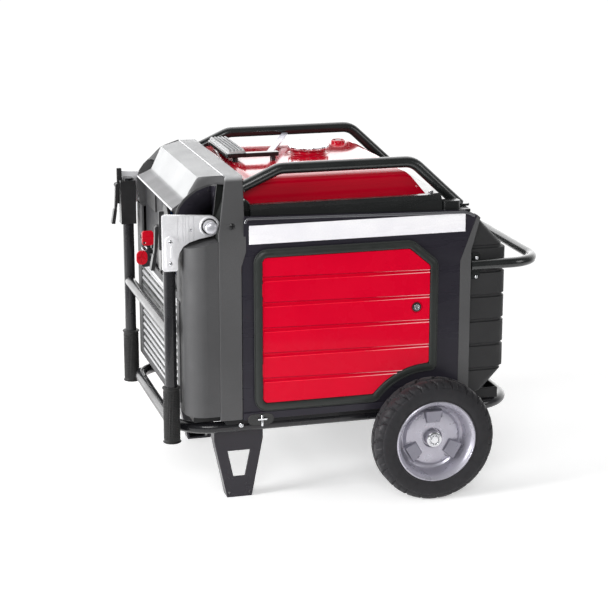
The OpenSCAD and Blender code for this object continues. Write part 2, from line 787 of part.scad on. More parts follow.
base_frame();
base_pan();
rail();  // rail_left
right_side() rail();  // rail_right
rear_handle();
feet();
axle();
front_housing();
front_band();
side_panel();  // side_panel_left
right_side() side_panel();  // side_panel_right
door_seals();
rear_band();
rear_cover();
visor();
control_panel();
intake_grille();
top_cover();
name_strips();
fuel_tank();
fuel_gauge();
engine_block();
cylinder_head();
muffler();
air_cleaner();
battery();
inverter_unit();
stator();
rotor();
engine_mounts();
bolts();
sockets();
panel_fittings();
exhaust_outlet();
handle_frame();
handle_bracket();  // handle_bracket_left
right_side() handle_bracket();  // handle_bracket_right
handle_lock();  // handle_lock_left
right_side() handle_lock();  // handle_lock_right
grip();  // grip_left
right_side() grip();  // grip_right
lever();  // lever_left
right_side() lever();  // lever_right
tyre();  // tyre_left
rim();  // rim_left
right_side() tyre();  // tyre_right
right_side() rim();  // rim_right
door();  // door_left
right_side() door();  // door_right
door_lock();  // door_lock_left
right_side() door_lock();  // door_lock_right
fuel_cap();
cap_gasket();
ignition_key();
spare_key();
eco_rocker();
breaker_toggle();
socket_lid(-60, 500);  // socket_lid_a
socket_lid(-130, 500);  // socket_lid_b
socket_lid(-95, 584);  // socket_lid_c
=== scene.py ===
"""Looks of a wheeled inverter generator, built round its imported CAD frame.

All shapes are drawn in millimetres in the frame's own axes: -X is the control end, +X the wheel end,
-Y the side that faces the camera, +Z up. Places come from the boxes of the CAD nodes; small details are
given in the same millimetres. Pieces that come in pairs are drawn for the left side and mirrored.
"""

import json
from math import acos, asin, atan2, cos, pi, radians, sin, tan, tau

import bmesh
import bpy
from mathutils import Matrix, Vector


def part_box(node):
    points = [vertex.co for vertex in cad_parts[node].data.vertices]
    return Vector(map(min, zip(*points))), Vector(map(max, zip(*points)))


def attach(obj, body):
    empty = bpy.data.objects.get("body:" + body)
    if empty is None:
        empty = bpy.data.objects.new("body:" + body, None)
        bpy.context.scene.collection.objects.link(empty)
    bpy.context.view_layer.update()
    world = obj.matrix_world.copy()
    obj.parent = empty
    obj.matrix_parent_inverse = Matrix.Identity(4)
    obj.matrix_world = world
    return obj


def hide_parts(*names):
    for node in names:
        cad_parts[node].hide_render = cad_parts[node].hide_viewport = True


MM = 0.001
LEFT = -1
RIGHT = 1
SIDES = {LEFT: "left", RIGHT: "right"}

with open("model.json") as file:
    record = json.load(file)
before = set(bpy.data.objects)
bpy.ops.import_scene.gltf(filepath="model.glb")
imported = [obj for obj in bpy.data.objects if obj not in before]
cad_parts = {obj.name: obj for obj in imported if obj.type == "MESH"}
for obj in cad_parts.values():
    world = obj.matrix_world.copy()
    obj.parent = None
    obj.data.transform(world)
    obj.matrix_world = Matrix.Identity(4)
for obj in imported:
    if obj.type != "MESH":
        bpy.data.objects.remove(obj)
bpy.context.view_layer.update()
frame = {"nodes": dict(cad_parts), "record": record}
scene = bpy.context.scene


# ---- camera ----

CAMERA_AIM = Vector((-0.0359, 0.0, 0.3558))
CAMERA_DISTANCE = 4.183
CAMERA_TURN = radians(-15.58)
CAMERA_TILT = radians(14.89)
LENS = 111.6
SENSOR = 36.0


def add_camera():
    """The camera of the photograph: near the left side, a little above the machine."""
    away = Vector((
        sin(CAMERA_TURN) * cos(CAMERA_TILT),
        -cos(CAMERA_TURN) * cos(CAMERA_TILT),
        sin(CAMERA_TILT),
    ))
    data = bpy.data.cameras.new("camera")
    data.lens = LENS
    data.sensor_width = SENSOR
    data.dof.use_dof = False
    camera = bpy.data.objects.new("camera", data)
    scene.collection.objects.link(camera)
    camera.location = CAMERA_AIM + away * CAMERA_DISTANCE
    camera.rotation_euler = away.to_track_quat("Z", "Y").to_euler()
    scene.camera = camera


add_camera()


# ---- places ----


class Box:
    """The box of a CAD node in millimetres."""

    def __init__(self, node):
        low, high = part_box(node)
        self.x0, self.y0, self.z0 = (value / MM for value in low)
        self.x1, self.y1, self.z1 = (value / MM for value in high)

    def middle(self):
        return Vector((self.x0 + self.x1, self.y0 + self.y1, self.z0 + self.z1)) / 2


BODY = {node: body for body, nodes in frame["record"]["behaviour"]["bodies"].items() for node in nodes}
SLOT = {part["node"]: part["material_slot"] for part in frame["record"]["subparts"]}


# ---- materials ----


def feed(socket, value):
    """Links an input to a socket, or gives it a constant; a plain colour gets its alpha."""
    if isinstance(value, bpy.types.NodeSocket):
        socket.id_data.links.new(value, socket)
    elif socket.type == "RGBA":
        socket.default_value = (*value, 1)
    else:
        socket.default_value = value


def set_inputs(node, **values):
    """Feeds the inputs named; an underscore stands for a space."""
    for name, value in values.items():
        feed(node.inputs[name.replace("_", " ")], value)
    return node


class Nodes:
    """A short way to wire one material's nodes."""

    def __init__(self, name):
        self.material = bpy.data.materials.new(name)
        self.material.use_nodes = True
        self.tree = self.material.node_tree
        self.shader = self.tree.nodes["Principled BSDF"]
        self.place = self.add("TexCoord").outputs["Object"]

    def add(self, kind, **values):
        return set_inputs(self.tree.nodes.new("ShaderNode" + kind), **values)

    def noise(self, scale, detail=3.0, stretch=(1, 1, 1)):
        """Noise in object space; scale is in features per metre."""
        place = self.add("Mapping", Vector=self.place, Scale=stretch).outputs["Vector"]
        return self.add("TexNoise", Vector=place, Scale=scale, Detail=detail).outputs["Fac"]

    def cells(self, scale):
        """Distance to the nearest cell centre, for pebbled grain."""
        return self.add("TexVoronoi", Vector=self.place, Scale=scale).outputs["Distance"]

    def height(self):
        """Height above the floor in metres."""
        return self.add("SeparateXYZ", Vector=self.place).outputs["Z"]

    def ramp(self, value, low, high, start=0.3, end=0.7):
        """Value turned from low to high between start and end."""
        node = self.add("MapRange", Value=value)
        set_inputs(node, From_Min=start, From_Max=end, To_Min=low, To_Max=high)
        node.interpolation_type = "SMOOTHSTEP"
        return node.outputs["Result"]

    def blend(self, factor, first, second):
        """Colour that goes from first to second with factor."""
        node = self.add("Mix")
        node.data_type = "RGBA"
        colour_inputs = [socket for socket in node.inputs if socket.type == "RGBA"]
        for socket, value in zip(colour_inputs, (first, second)):
            feed(socket, value)
        set_inputs(node, Factor=factor)
        return next(socket for socket in node.outputs if socket.type == "RGBA")

    def bump(self, value, depth):
        """Adds a bump of that depth in metres over the ones before it."""
        node = self.add("Bump", Height=value, Distance=depth, Strength=1.0)
        normal = self.shader.inputs["Normal"]
        if normal.is_linked:
            set_inputs(node, Normal=normal.links[0].from_socket)
        set_inputs(self.shader, Normal=node.outputs["Normal"])

    def finish(self, colour, gloss, low, high, **values):
        """Sets the shader, with a roughness that wanders from low to high, and hands over the material."""
        set_inputs(self.shader, Base_Color=colour, Roughness=self.ramp(gloss, low, high), **values)
        return self.material


def tone(colour, factor):
    return tuple(min(1.0, channel * factor) for channel in colour)


def tinted(nodes, colour, spread, dust=0.0):
    """Colour with broad tone changes, fine speckle and some dust low down."""
    broad = nodes.ramp(nodes.noise(7, 4), 0, 1)
    fine = nodes.ramp(nodes.noise(420, 2), 0, 1)
    mixed = nodes.blend(broad, tone(colour, 1 - spread), tone(colour, 1 + spread))
    mixed = nodes.blend(nodes.ramp(fine, 0, 0.25), mixed, tone(colour, 1 - 2 * spread))
    if dust:
        low = nodes.ramp(nodes.height(), dust, 0, 0.0, 0.30)
        mixed = nodes.blend(low, mixed, (0.20, 0.19, 0.18))
    return mixed


def gloss_paint(name, colour, rough, specular, coat, spread=0.06):
    """Sprayed enamel: a clear coat, faint orange peel, and wiped patches in the gloss."""
    nodes = Nodes(name)
    nodes.bump(nodes.noise(260, 2), 0.00003)
    return nodes.finish(tinted(nodes, colour, spread), nodes.noise(14, 5), rough, rough * 1.7,
                        Specular_IOR_Level=specular, Coat_Weight=coat, Coat_Roughness=0.05)


def grained_plastic(name, colour, rough):
    """Moulded plastic with a pebbled grain and a little uneven sheen."""
    nodes = Nodes(name)
    nodes.bump(nodes.cells(900), 0.00012)
    nodes.bump(nodes.noise(2070, 2), 0.000048)
    return nodes.finish(tinted(nodes, colour, 0.08), nodes.noise(22, 4), rough - 0.08, rough + 0.08,
                        Specular_IOR_Level=0.35)


def capped_plastic(name, colour, cap_colour, low, high):
    """Grained plastic whose top, above a height in metres, is sprayed another colour."""
    nodes = Nodes(name)
    top = nodes.ramp(nodes.height(), 0, 1, low, high)
    mixed = nodes.blend(top, tinted(nodes, colour, 0.08), tinted(nodes, cap_colour, 0.05))
    nodes.bump(nodes.cells(900), 0.00012)
    nodes.bump(nodes.noise(2000, 2), 0.00005)
    return nodes.finish(mixed, nodes.noise(22, 4), 0.5, 0.64, Specular_IOR_Level=0.25)


def satin_plastic(name, colour, rough=0.34, specular=0.4, coat=0.0):
    """Smooth moulded plastic with flow marks and fine scratches."""
    nodes = Nodes(name)
    nodes.bump(nodes.noise(700, 3), 0.00002)
    return nodes.finish(tinted(nodes, colour, 0.07), nodes.noise(9, 4, (1, 1, 5)), rough - 0.05,
                        rough + 0.09, Specular_IOR_Level=specular, Coat_Weight=coat)


def rubber(name, colour, rough, dust=0.0):
    """Moulded rubber: dull, faintly mottled, with a fine skin."""
    nodes = Nodes(name)
    nodes.bump(nodes.noise(900, 4), 0.00008)
    nodes.bump(nodes.noise(90, 3), 0.00015)
    return nodes.finish(tinted(nodes, colour, 0.14, dust), nodes.noise(60, 4), rough - 0.1,
                        rough + 0.12, Specular_IOR_Level=0.3, Sheen_Weight=0.08)


def cast_metal(name, colour, rough, metallic, grain=0.00012):
    """Sand-cast or painted-over alloy with a fine orange-peel skin."""
    nodes = Nodes(name)
    nodes.bump(nodes.noise(520, 4), grain)
    return nodes.finish(tinted(nodes, colour, 0.07), nodes.noise(40, 5), rough - 0.07, rough + 0.1,
                        Metallic=metallic)


def brushed_metal(name, colour, rough, stretch=(1, 1, 24)):
    """Turned or drawn metal with fine lines and faint smudges."""
    nodes = Nodes(name)
    lines = nodes.noise(380, 3, stretch)
    nodes.bump(lines, 0.00002)
    return nodes.finish(tinted(nodes, colour, 0.05), lines, rough * 0.7, rough * 1.5, Metallic=1.0)


def heat_stained(name, colour):
    """Steel that has run hot: straw and blue bands over a dull grey."""
    nodes = Nodes(name)
    stained = nodes.blend(nodes.ramp(nodes.noise(16, 5), 0, 1), colour, (0.20, 0.13, 0.07))
    blue = nodes.ramp(nodes.noise(30, 3), 0, 0.6, 0.5, 0.8)
    stained = nodes.blend(blue, stained, (0.10, 0.11, 0.17))
    nodes.bump(nodes.noise(300, 4), 0.00006)
    return nodes.finish(stained, nodes.noise(50, 4), 0.35, 0.6, Metallic=0.8)


def window_film(name, colour):
    """Dark clear cover over a gauge."""
    nodes = Nodes(name)
    return nodes.finish(tinted(nodes, colour, 0.1), nodes.noise(30, 3), 0.04, 0.12, Coat_Weight=1.0)


def sweep_paper(name, dark, light, glow):
    """Matt white paper that gives off a little light, so that the studio shows no horizon."""
    nodes = Nodes(name)
    mixed = nodes.blend(nodes.ramp(nodes.noise(5, 3), 0, 1), dark, light)
    nodes.bump(nodes.noise(1500, 2), 0.00002)
    return nodes.finish(mixed, nodes.noise(80, 3), 0.8, 0.95, Specular_IOR_Level=0.1,
                        Emission_Color=(1, 1, 1), Emission_Strength=glow)


HOOD_SILVER = (0.47, 0.475, 0.48)
RECIPES = {
    "frame_black": (gloss_paint, (0.01, 0.01, 0.012), 0.2, 0.4, 0.25),
    "rail_black": (gloss_paint, (0.011, 0.013, 0.013), 0.18, 0.5, 0.4),
    "pan_black": (gloss_paint, (0.012, 0.012, 0.013), 0.4, 0.3, 0.0),
    "leg_black": (gloss_paint, (0.016, 0.014, 0.02), 0.24, 0.35, 0.15),
    "bright_steel": (brushed_metal, (0.7, 0.71, 0.73), 0.16),
    "housing_grey": (grained_plastic, (0.062, 0.062, 0.064), 0.62),
    "band_grey": (grained_plastic, (0.078, 0.078, 0.08), 0.58),
    "band_front": (capped_plastic, (0.078, 0.078, 0.08), (0.5, 0.505, 0.51), 0.687, 0.697),
    "hood": (capped_plastic, (0.2, 0.2, 0.205), HOOD_SILVER, 0.64, 0.648),
    "panel_dark": (satin_plastic, (0.021, 0.019, 0.027), 0.3, 0.25),
    "seal_black": (rubber, (0.019, 0.022, 0.02), 0.42),
    "cover_black": (grained_plastic, (0.026, 0.026, 0.027), 0.58),
    "deck_black": (satin_plastic, (0.01, 0.011, 0.011), 0.22, 0.45, 0.2),
    "hood_silver": (gloss_paint, HOOD_SILVER, 0.42, 0.15, 0.0, 0.03),
    "grille_grey": (satin_plastic, (0.46, 0.46, 0.47), 0.36),
    "control_black": (grained_plastic, (0.018, 0.018, 0.02), 0.55),
    "tank_red": (gloss_paint, (0.52, 0.001, 0.016), 0.1, 0.3, 0.35, 0.03),
    "door_red": (gloss_paint, (0.66, 0.0, 0.021), 0.2, 0.06, 0.1, 0.025),
    # Painted light for the door grooves: pale glints and a bright red line paint highlights, a dark red
    # line paints shade.
    "glint_red": (gloss_paint, (0.88, 0.36, 0.38), 0.12, 0.6, 0.8, 0.02),
    "crest_red": (gloss_paint, (0.9, 0.006, 0.035), 0.2, 0.2, 0.3, 0.02),
    "crease_red": (gloss_paint, (0.34, 0.0, 0.018), 0.3, 0.1, 0.0, 0.02),
    "strip_white": (satin_plastic, (0.93, 0.92, 0.97), 0.2),
    # A lighter grey that paints the highlight on the side panel's top lip.
    "lip_shine": (gloss_paint, (0.075, 0.075, 0.085), 0.12, 0.6, 0.6),
    "bolt_zinc": (cast_metal, (0.62, 0.62, 0.66), 0.34, 0.55, 0.00006),
    "cast_aluminium": (cast_metal, (0.8, 0.8, 0.82), 0.42, 0.3),
    "tyre_rubber": (rubber, (0.013, 0.0125, 0.015), 0.6, 0.012),
    "rim_silver": (cast_metal, (0.46, 0.45, 0.51), 0.3, 0.5, 0.00004),
    # A darker silver that paints the shade on the rim's lugs.
    "lug_silver": (cast_metal, (0.25, 0.245, 0.29), 0.34, 0.45, 0.00004),
    "tag_grey": (satin_plastic, (0.035, 0.033, 0.038), 0.3),
    "cap_chrome": (brushed_metal, (0.82, 0.82, 0.84), 0.09, (1, 1, 1)),
    "grip_rubber": (rubber, (0.01, 0.01, 0.01), 0.5),
    "lever_black": (gloss_paint, (0.012, 0.012, 0.013), 0.35, 0.4, 0.1),
    "engine_alloy": (cast_metal, (0.36, 0.37, 0.38), 0.5, 0.7, 0.0003),
    "hot_steel": (heat_stained, (0.3, 0.28, 0.26)),
    "winding_copper": (brushed_metal, (0.42, 0.19, 0.09), 0.4, (30, 1, 1)),
    "key_red": (satin_plastic, (0.6, 0.003, 0.016), 0.25, 0.4),
    "switch_black": (satin_plastic, (0.02, 0.02, 0.021), 0.4),
    "socket_blue": (satin_plastic, (0.03, 0.08, 0.28), 0.4),
    "gauge_lens": (window_film, (0.02, 0.03, 0.035)),
    "floor_paper": (sweep_paper, (0.9, 0.9, 0.9), (0.93, 0.93, 0.93), 0.36),
}
LOOK = {name: recipe(name, *values) for name, (recipe, *values) in RECIPES.items()}


# ---- mesh kit ----

PLANE = {
    "X": lambda a, b, h: (h, a, b),
    "Y": lambda a, b, h: (a, h, b),
    "Z": lambda a, b, h: (a, b, h),
}
WELD = 0.002


def bridge(bm, ring, other, closed=True):
    """Quads between two rings of the same number of points."""
    count = len(ring)
    for i in range(count if closed else count - 1):
        j = (i + 1) % count
        bm.faces.new((ring[i], ring[j], other[j], other[i]))


def wedge(bm, near, far):
    """A solid between two outlines of the same number of points in space."""
    rings = [[bm.verts.new(point) for point in ring] for ring in (near, far)]
    bm.faces.new(rings[0])
    bm.faces.new(rings[1][::-1])
    bridge(bm, rings[0], rings[1])
    return bm


def prism(bm, outline, axis, low, high):
    """A solid whose outline is drawn across one axis and runs from low to high along it."""
    return wedge(bm, *([PLANE[axis](a, b, h) for a, b in outline] for h in (low, high)))


def sheet(bm, rows, offset):
    """A closed slab over a grid of points, as thick as the offset."""
    sides = []
    for shift in (Vector(), Vector(offset)):
        sides.append([[bm.verts.new(Vector(p) + shift) for p in row] for row in rows])
    for grid in sides:
        for first, second in zip(grid, grid[1:]):
            bridge(bm, first, second, closed=False)
    top, under = sides
    for edge, below in ((top[0], under[0]), (top[-1], under[-1])):
        bridge(bm, edge, below, closed=False)
    for column in (0, -1):
        bridge(bm, [row[column] for row in top], [row[column] for row in under], closed=False)
    return bm


def rounded(points, radius, steps=6):
    """The closed outline with each corner turned into an arc, one radius for all or one each."""
    radii = radius if isinstance(radius, (list, tuple)) else [radius] * len(points)
    out = []
    for i, corner in enumerate(points):
        here = Vector(corner)
        back = Vector(points[i - 1]) - here
        on = Vector(points[(i + 1) % len(points)]) - here
        half_angle = back.angle(on) / 2
        reach = min(radii[i] / tan(half_angle), back.length / 2.02, on.length / 2.02)
        if reach < 0.05:
            out.append(tuple(here))
            continue
        size = reach * tan(half_angle)
        centre = here + (back.normalized() + on.normalized()).normalized() * size / sin(half_angle)
        first = here + back.normalized() * reach - centre
        last = here + on.normalized() * reach - centre
        start = atan2(first.y, first.x)
        turn = (atan2(last.y, last.x) - start + pi) % tau - pi
        for k in range(steps + 1):
            angle = start + turn * k / steps
            out.append((centre.x + size * cos(angle), centre.y + size * sin(angle)))
    return out


def rectangle(a0, b0, a1, b1, radius=0.0):
    corners = [(a0, b0), (a1, b0), (a1, b1), (a0, b1)]
    return rounded(corners, radius) if radius else corners


def circle(a, b, radius, steps=32):
    turns = [tau * k / steps for k in range(steps)]
    return [(a + radius * cos(t), b + radius * sin(t)) for t in turns]


def lathe(bm, profile, centre, axis, steps=64, shape=None):
    """Turns a profile of (radius, height) round an axis; shape may move a point for each turn.

    A profile that starts on the axis stays open, any other is closed into a ring.
    """
    place = PLANE[axis]
    closed = profile[0][0] > 0
    spin = {"X": 1, "Y": -1, "Z": 1}[axis]
    rings = []
    for k in range(steps):
        turn = spin * tau * k / steps
        ring = []
        for radius, height in profile:
            if shape:
                radius, height = shape(radius, height, turn)
            offset = Vector(place(radius * cos(turn), radius * sin(turn), height))
            ring.append(bm.verts.new(Vector(centre) + offset))
        rings.append(ring)
    for k in range(steps):
        bridge(bm, rings[k], rings[(k + 1) % steps], closed)
    return bm


def headings(path, closed):
    """The direction of a path at each of its points."""
    count = len(path)
    for i in range(count):
        on = path[(i + 1) % count] if closed or i < count - 1 else path[i]
        back = path[i - 1] if closed or i else path[i]
        yield (on - back).normalized()


def skin(bm, rings, closed):
    """Joins the rings along a path; an open path gets a face at each end."""
    count = len(rings)
    for i in range(count if closed else count - 1):
        bridge(bm, rings[i], rings[(i + 1) % count])
    if not closed:
        bm.faces.new(rings[0])
        bm.faces.new(rings[-1][::-1])
    return bm


def sweep(bm, path, section, across, closed=True):
    """Runs a closed section along a flat path; its second number points along across."""
    rings = []
    for point, along in zip(path, headings(path, closed)):
        side = along.cross(across).normalized()
        rings.append([bm.verts.new(point + side * a + across * b) for a, b in section])
    return skin(bm, rings, closed)


def tube(bm, path, radius, sides=12, closed=False):
    """A round bar through the points of a path in space."""
    guide = None
    turns = [tau * k / sides for k in range(sides)]
    rings = []
    for point, along in zip(path, headings(path, closed)):
        if guide is None:
            guide = along.orthogonal().normalized()
        guide = (guide - along * guide.dot(along)).normalized()
        other = along.cross(guide)
        spokes = [(guide * cos(t) + other * sin(t)) * radius for t in turns]
        rings.append([bm.verts.new(point + spoke) for spoke in spokes])
    return skin(bm, rings, closed)


def smooth_path(points, bend, steps=6):
    """Points of an open path with rounded corners."""
    out = [Vector(points[0])]
    for i in range(1, len(points) - 1):
        here = Vector(points[i])
        back = Vector(points[i - 1]) - here
        on = Vector(points[i + 1]) - here
        reach = min(bend, back.length / 2.02, on.length / 2.02)
        first = here + back.normalized() * reach
        last = here + on.normalized() * reach
        for k in range(steps + 1):
            t = k / steps
            out.append(first.lerp(here, t).lerp(here.lerp(last, t), t))
    out.append(Vector(points[-1]))
    return out


def cleaned(bm):
    """Welds points that lie together and turns the faces outward."""
    bmesh.ops.remove_doubles(bm, verts=bm.verts, dist=WELD)
    bmesh.ops.recalc_face_normals(bm, faces=bm.faces)
    return bm


def to_object(name, bm):
    """Puts a mesh in the scene and uses it up."""
    mesh = bpy.data.meshes.new(name)
    bm.to_mesh(mesh)
    bm.free()
    thing = bpy.data.objects.new(name, mesh)
    scene.collection.objects.link(thing)
    return thing


def carved(bm, cutter, mode="DIFFERENCE"):
    """The solid with the cutter taken out of it, or kept only inside it; both meshes are used up."""
    solid = to_object("solid", cleaned(bm))
    tool = to_object("tool", cleaned(cutter))
    modifier = solid.modifiers.new("carve", "BOOLEAN")
    modifier.operation = mode
    modifier.solver = "EXACT"
    modifier.object = tool
    bpy.context.view_layer.update()
    result = bmesh.new()
    result.from_object(solid, bpy.context.evaluated_depsgraph_get())
    for thing in (solid, tool):
        mesh = thing.data
        bpy.data.objects.remove(thing)
        bpy.data.meshes.remove(mesh)
    return result


def cut(bm, outline, axis, low, high, mode="DIFFERENCE"):
    """The solid with a prism taken out of it, or kept only inside the prism."""
    return carved(bm, prism(bmesh.new(), outline, axis, low, high), mode)


def merge(bm, other):
    """Adds another mesh to this one and uses it up."""
    mesh = bpy.data.meshes.new("part")
    other.to_mesh(mesh)
    other.free()
    bm.from_mesh(mesh)
    bpy.data.meshes.remove(mesh)


def piece(name, bm, node, side=None, look=None, bevel=0.0, segments=3, crease=32, covers=False):
    """Turns millimetre mesh into a piece on a node's body, in its slot; it may cover the node.

    A piece with a side is drawn for the left one, and its name and node get the side added.
    """
    if side == RIGHT:
        bmesh.ops.scale(bm, vec=(1, -1, 1), verts=bm.verts)
    if side:
        name = f"{name}_{SIDES[side]}"
        node = node if node in BODY else f"{node}_{SIDES[side]}"
    bmesh.ops.scale(cleaned(bm), vec=(MM, MM, MM), verts=bm.verts)
    limit = radians(crease)
    for face in bm.faces:
        face.smooth = True
    for edge in bm.edges:
        edge.smooth = bool(bevel) or edge.calc_face_angle(0) < limit
    thing = to_object(name, bm)
    thing.data.materials.append(LOOK[look or SLOT[node]])
    if bevel:
        round_edges(thing, bevel, segments, crease)
    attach(thing, BODY[node])
    if covers:
        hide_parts(node)


def slab(name, node, outline, axis, low, high, **details):
    """A piece that is one prism."""
    piece(name, prism(bmesh.new(), outline, axis, low, high), node, **details)


def turned(name, node, profile, centre, axis, steps=64, shape=None, **details):
    """A piece that is one turned profile."""
    piece(name, lathe(bmesh.new(), profile, centre, axis, steps, shape), node, **details)


def round_edges(thing, width, segments, crease):
    modifier = thing.modifiers.new("edges", "BEVEL")
    modifier.width = width * MM
    modifier.segments = segments
    modifier.limit_method = "ANGLE"
    modifier.angle_limit = radians(crease)
    modifier.harden_normals = True
    modifier.use_clamp_overlap = True


def keep_node(node, look=None, bevel=0.0):
    """A CAD node whose shape is right: it gets its material and softened edges."""
    thing = frame["nodes"][node]
    thing.data.materials.clear()
    thing.data.materials.append(LOOK[look or SLOT[node]])
    if bevel:
        weld = thing.modifiers.new("weld", "WELD")
        weld.merge_threshold = 0.00002
        round_edges(thing, bevel, 3, 32)


# ---- carried-over CAD nodes ----

KEPT = {
    0: "base_frame rail_left rail_right rear_handle handle_frame muffler stator rotor",
    0.5: "intake_grille sockets panel_fittings",
    0.6: "name_strips eco_rocker",
    0.8: "breaker_toggle ignition_key",
    1: "control_panel cap_gasket lever_left lever_right socket_lid_a socket_lid_b socket_lid_c"
       " cylinder_head inverter_unit engine_mounts",
    1.2: "feet rear_band",
    1.5: "side_panel_left side_panel_right handle_lock_left handle_lock_right",
    2: "base_pan front_housing",
    3: "top_cover air_cleaner battery",
    4: "engine_block",
}
for softness, kept_nodes in KEPT.items():
    for kept_node in kept_nodes.split():
        keep_node(kept_node, bevel=softness)
keep_node("visor", "hood", bevel=1.2)


# ---- wheels ----

TYRE = Box("tyre_left")
WHEEL = TYRE.middle()
WHEEL_R = (TYRE.z1 - TYRE.z0) / 2
WHEEL_HALF = (TYRE.y1 - TYRE.y0) / 2
RIM_R = (Box("rim_left").z1 - Box("rim_left").z0) / 2
BORE_R = 10.2
LUG_ANGLES = (90, 210, 330)
BLOCKS = 22
DEEP_CUT = 3.6
SHALLOW_CUT = 2.0


def tread(radius, height, turn):
    """Cuts the lug pattern: two rows of skewed blocks, a zigzag middle groove, open shoulders."""
    shoulder_r = WHEEL_R - 15
    if radius < shoulder_r:
        return radius, height
    row = 0.0 if height < 0 else 0.5
    across = abs(height) / WHEEL_HALF
    position = (turn * BLOCKS / tau + row + 0.6 * across) % 1.0
    cross_cut = position < 0.13
    half_cut = abs(position - 0.6) < 0.06 and across > 0.62
    zigzag = 2.5 * sin(turn * BLOCKS)
    middle_cut = abs(height - zigzag) < 2.6 and radius > WHEEL_R - 1
    depth = DEEP_CUT if cross_cut or middle_cut else SHALLOW_CUT if half_cut else 0.0
    depth *= min(1.0, (radius - shoulder_r) / 7)
    return radius - depth, height * (1 - 0.014 * depth)


def add_tyre(side):
    """Block-tread tyre with a stepped side wall."""
    wall = WHEEL_HALF
    half_profile = [
        (RIM_R, 25.5), (RIM_R + 3, 26.8), (RIM_R + 6, 28.6), (RIM_R + 8, 28.2), (RIM_R + 10, 29.2),
        (104, wall), (112, wall - 0.2), (117, wall - 1), (119, wall - 2.6), (121.5, wall - 2.8),
        (125, wall - 5), (128, wall - 8.5), (130, wall - 12), (WHEEL_R, wall - 16), (WHEEL_R, 9),
        (WHEEL_R, 6.2), (WHEEL_R, 5), (WHEEL_R, 2.4), (WHEEL_R, 0),
    ]
    profile = [(r, -h) for r, h in half_profile] + [(r, h) for r, h in half_profile[-2::-1]]
    turned("tyre_tread", "tyre", profile, WHEEL, "Y", BLOCKS * 20, tread, side=side, crease=30, covers=True)


def add_rim(side):
    """Rolled flange, deep dish, pressed disc with three lugs, hub tube."""
    outer_face = [
        (RIM_R, -22), (RIM_R + 3.4, -24), (RIM_R + 3.8, -27.6), (RIM_R + 1, -29.6), (84, -28.4),
        (80, -25.4), (77.6, -21), (75.8, -14), (73.6, -1), (70, 8), (65.5, 11), (62, 10), (60, 5.5),
        (58, 1.8), (55, 0.8), (44, 0.2), (30, 0), (21.5, 0.2), (20.5, 2), (20, 7), (17, 7), (16, -9),
        (15, -11), (BORE_R, -11),
    ]
    inner_face = [
        (BORE_R, 24), (20, 24), (22, 13), (50, 13), (58, 14), (71, 15.5), (77, 18), (80, 26), (RIM_R, 27),
    ]
    bm = lathe(bmesh.new(), outer_face + inner_face, WHEEL, "Y", 96)
    turns = [
        Matrix.Translation((WHEEL.x, 0, WHEEL.z)) @ Matrix.Rotation(-radians(degrees), 4, "Y")
        for degrees in LUG_ANGLES
    ]
    for turn in turns:
        for edge in (-1, 1):
            slot = bmesh.new()
            low, high = sorted((edge * 17.5, edge * 21.5))
            prism(slot, rectangle(44, low, 61, high, 1), "Y", WHEEL.y - 3, WHEEL.y + 4)
            slot.transform(turn)
            bm = carved(bm, slot)
    lugs = bmesh.new()
    for turn in turns:
        foot = [(x, WHEEL.y + 3, z) for x, z in ((33.5, -15), (63, -20.5), (63, 20.5), (33.5, 15))]
        crest = [(x, WHEEL.y + 1.2 - x * 0.2, z) for x, z in ((36, -14), (62, -18.5), (62, 18.5), (36, 14))]
        lug = wedge(bmesh.new(), foot, crest)
        lug.transform(turn)
        merge(lugs, lug)
    # The lugs get a darker silver that paints their shade.
    piece("wheel_lugs", lugs, "rim", side, look="lug_silver", bevel=1.2)
    piece("wheel_disc", bm, "rim", side, bevel=0.8, covers=True)


def add_axle():
    """Drawn bar with turned-down ends, washers and split pins."""
    bar = Box("axle")
    radius = 9.9
    end = bar.y1
    profile = [(0, end), (radius - 2.5, end), (radius - 0.6, end - 1.6), (radius, end - 3), (radius, 0)]
    profile += [(r, -h) for r, h in profile[-2::-1]]
    bm = lathe(bmesh.new(), profile, (WHEEL.x, 0, WHEEL.z), "Y", 40)
    for side in SIDES:
        face = end - 4
        washer = [(radius, 0), (16, 0), (16.5, 0.6), (16.5, 1.6), (15.5, 2.2), (radius, 2.2)]
        lathe(bm, [(r, side * (face - 1 + h)) for r, h in washer], (WHEEL.x, 0, WHEEL.z), "Y", 40)
        centre = Vector((WHEEL.x, side * (end - 1.4), WHEEL.z))
        turns = [radians(110 + 320 * k / 28) for k in range(29)]
        tube(bm, [centre + Vector((cos(t), 0, sin(t))) * 11.2 for t in turns], 1.4, 10)
        tube(bm, [centre + Vector((0, 0, 13)), centre + Vector((0, 0, -14))], 1.5, 10)
    piece("axle_and_pins", bm, "axle", bevel=0.3, covers=True)


for wheel_side in SIDES:
    add_tyre(wheel_side)
    add_rim(wheel_side)
add_axle()


# ---- doors, panels and the rubber bead ----

OPENING = Box("door_seals")
SEAL_MARGIN = 8.6
DOOR_FACE = Box("door_left").y0
PANEL_FACE = Box("side_panel_left").y0
LOCK = Box("door_lock_left")
LOCK_R = 7.0
OUTWARD = Vector((0, -1, 0))
HINGE_X = Box("door_left").x0 + 6
ARCH_CLEAR = 62
EDGE_CLEAR = 9
HINGE_HEIGHTS = (300, 470)
HINGE_HALF = 13.5
GROOVE_PITCH = 53.7


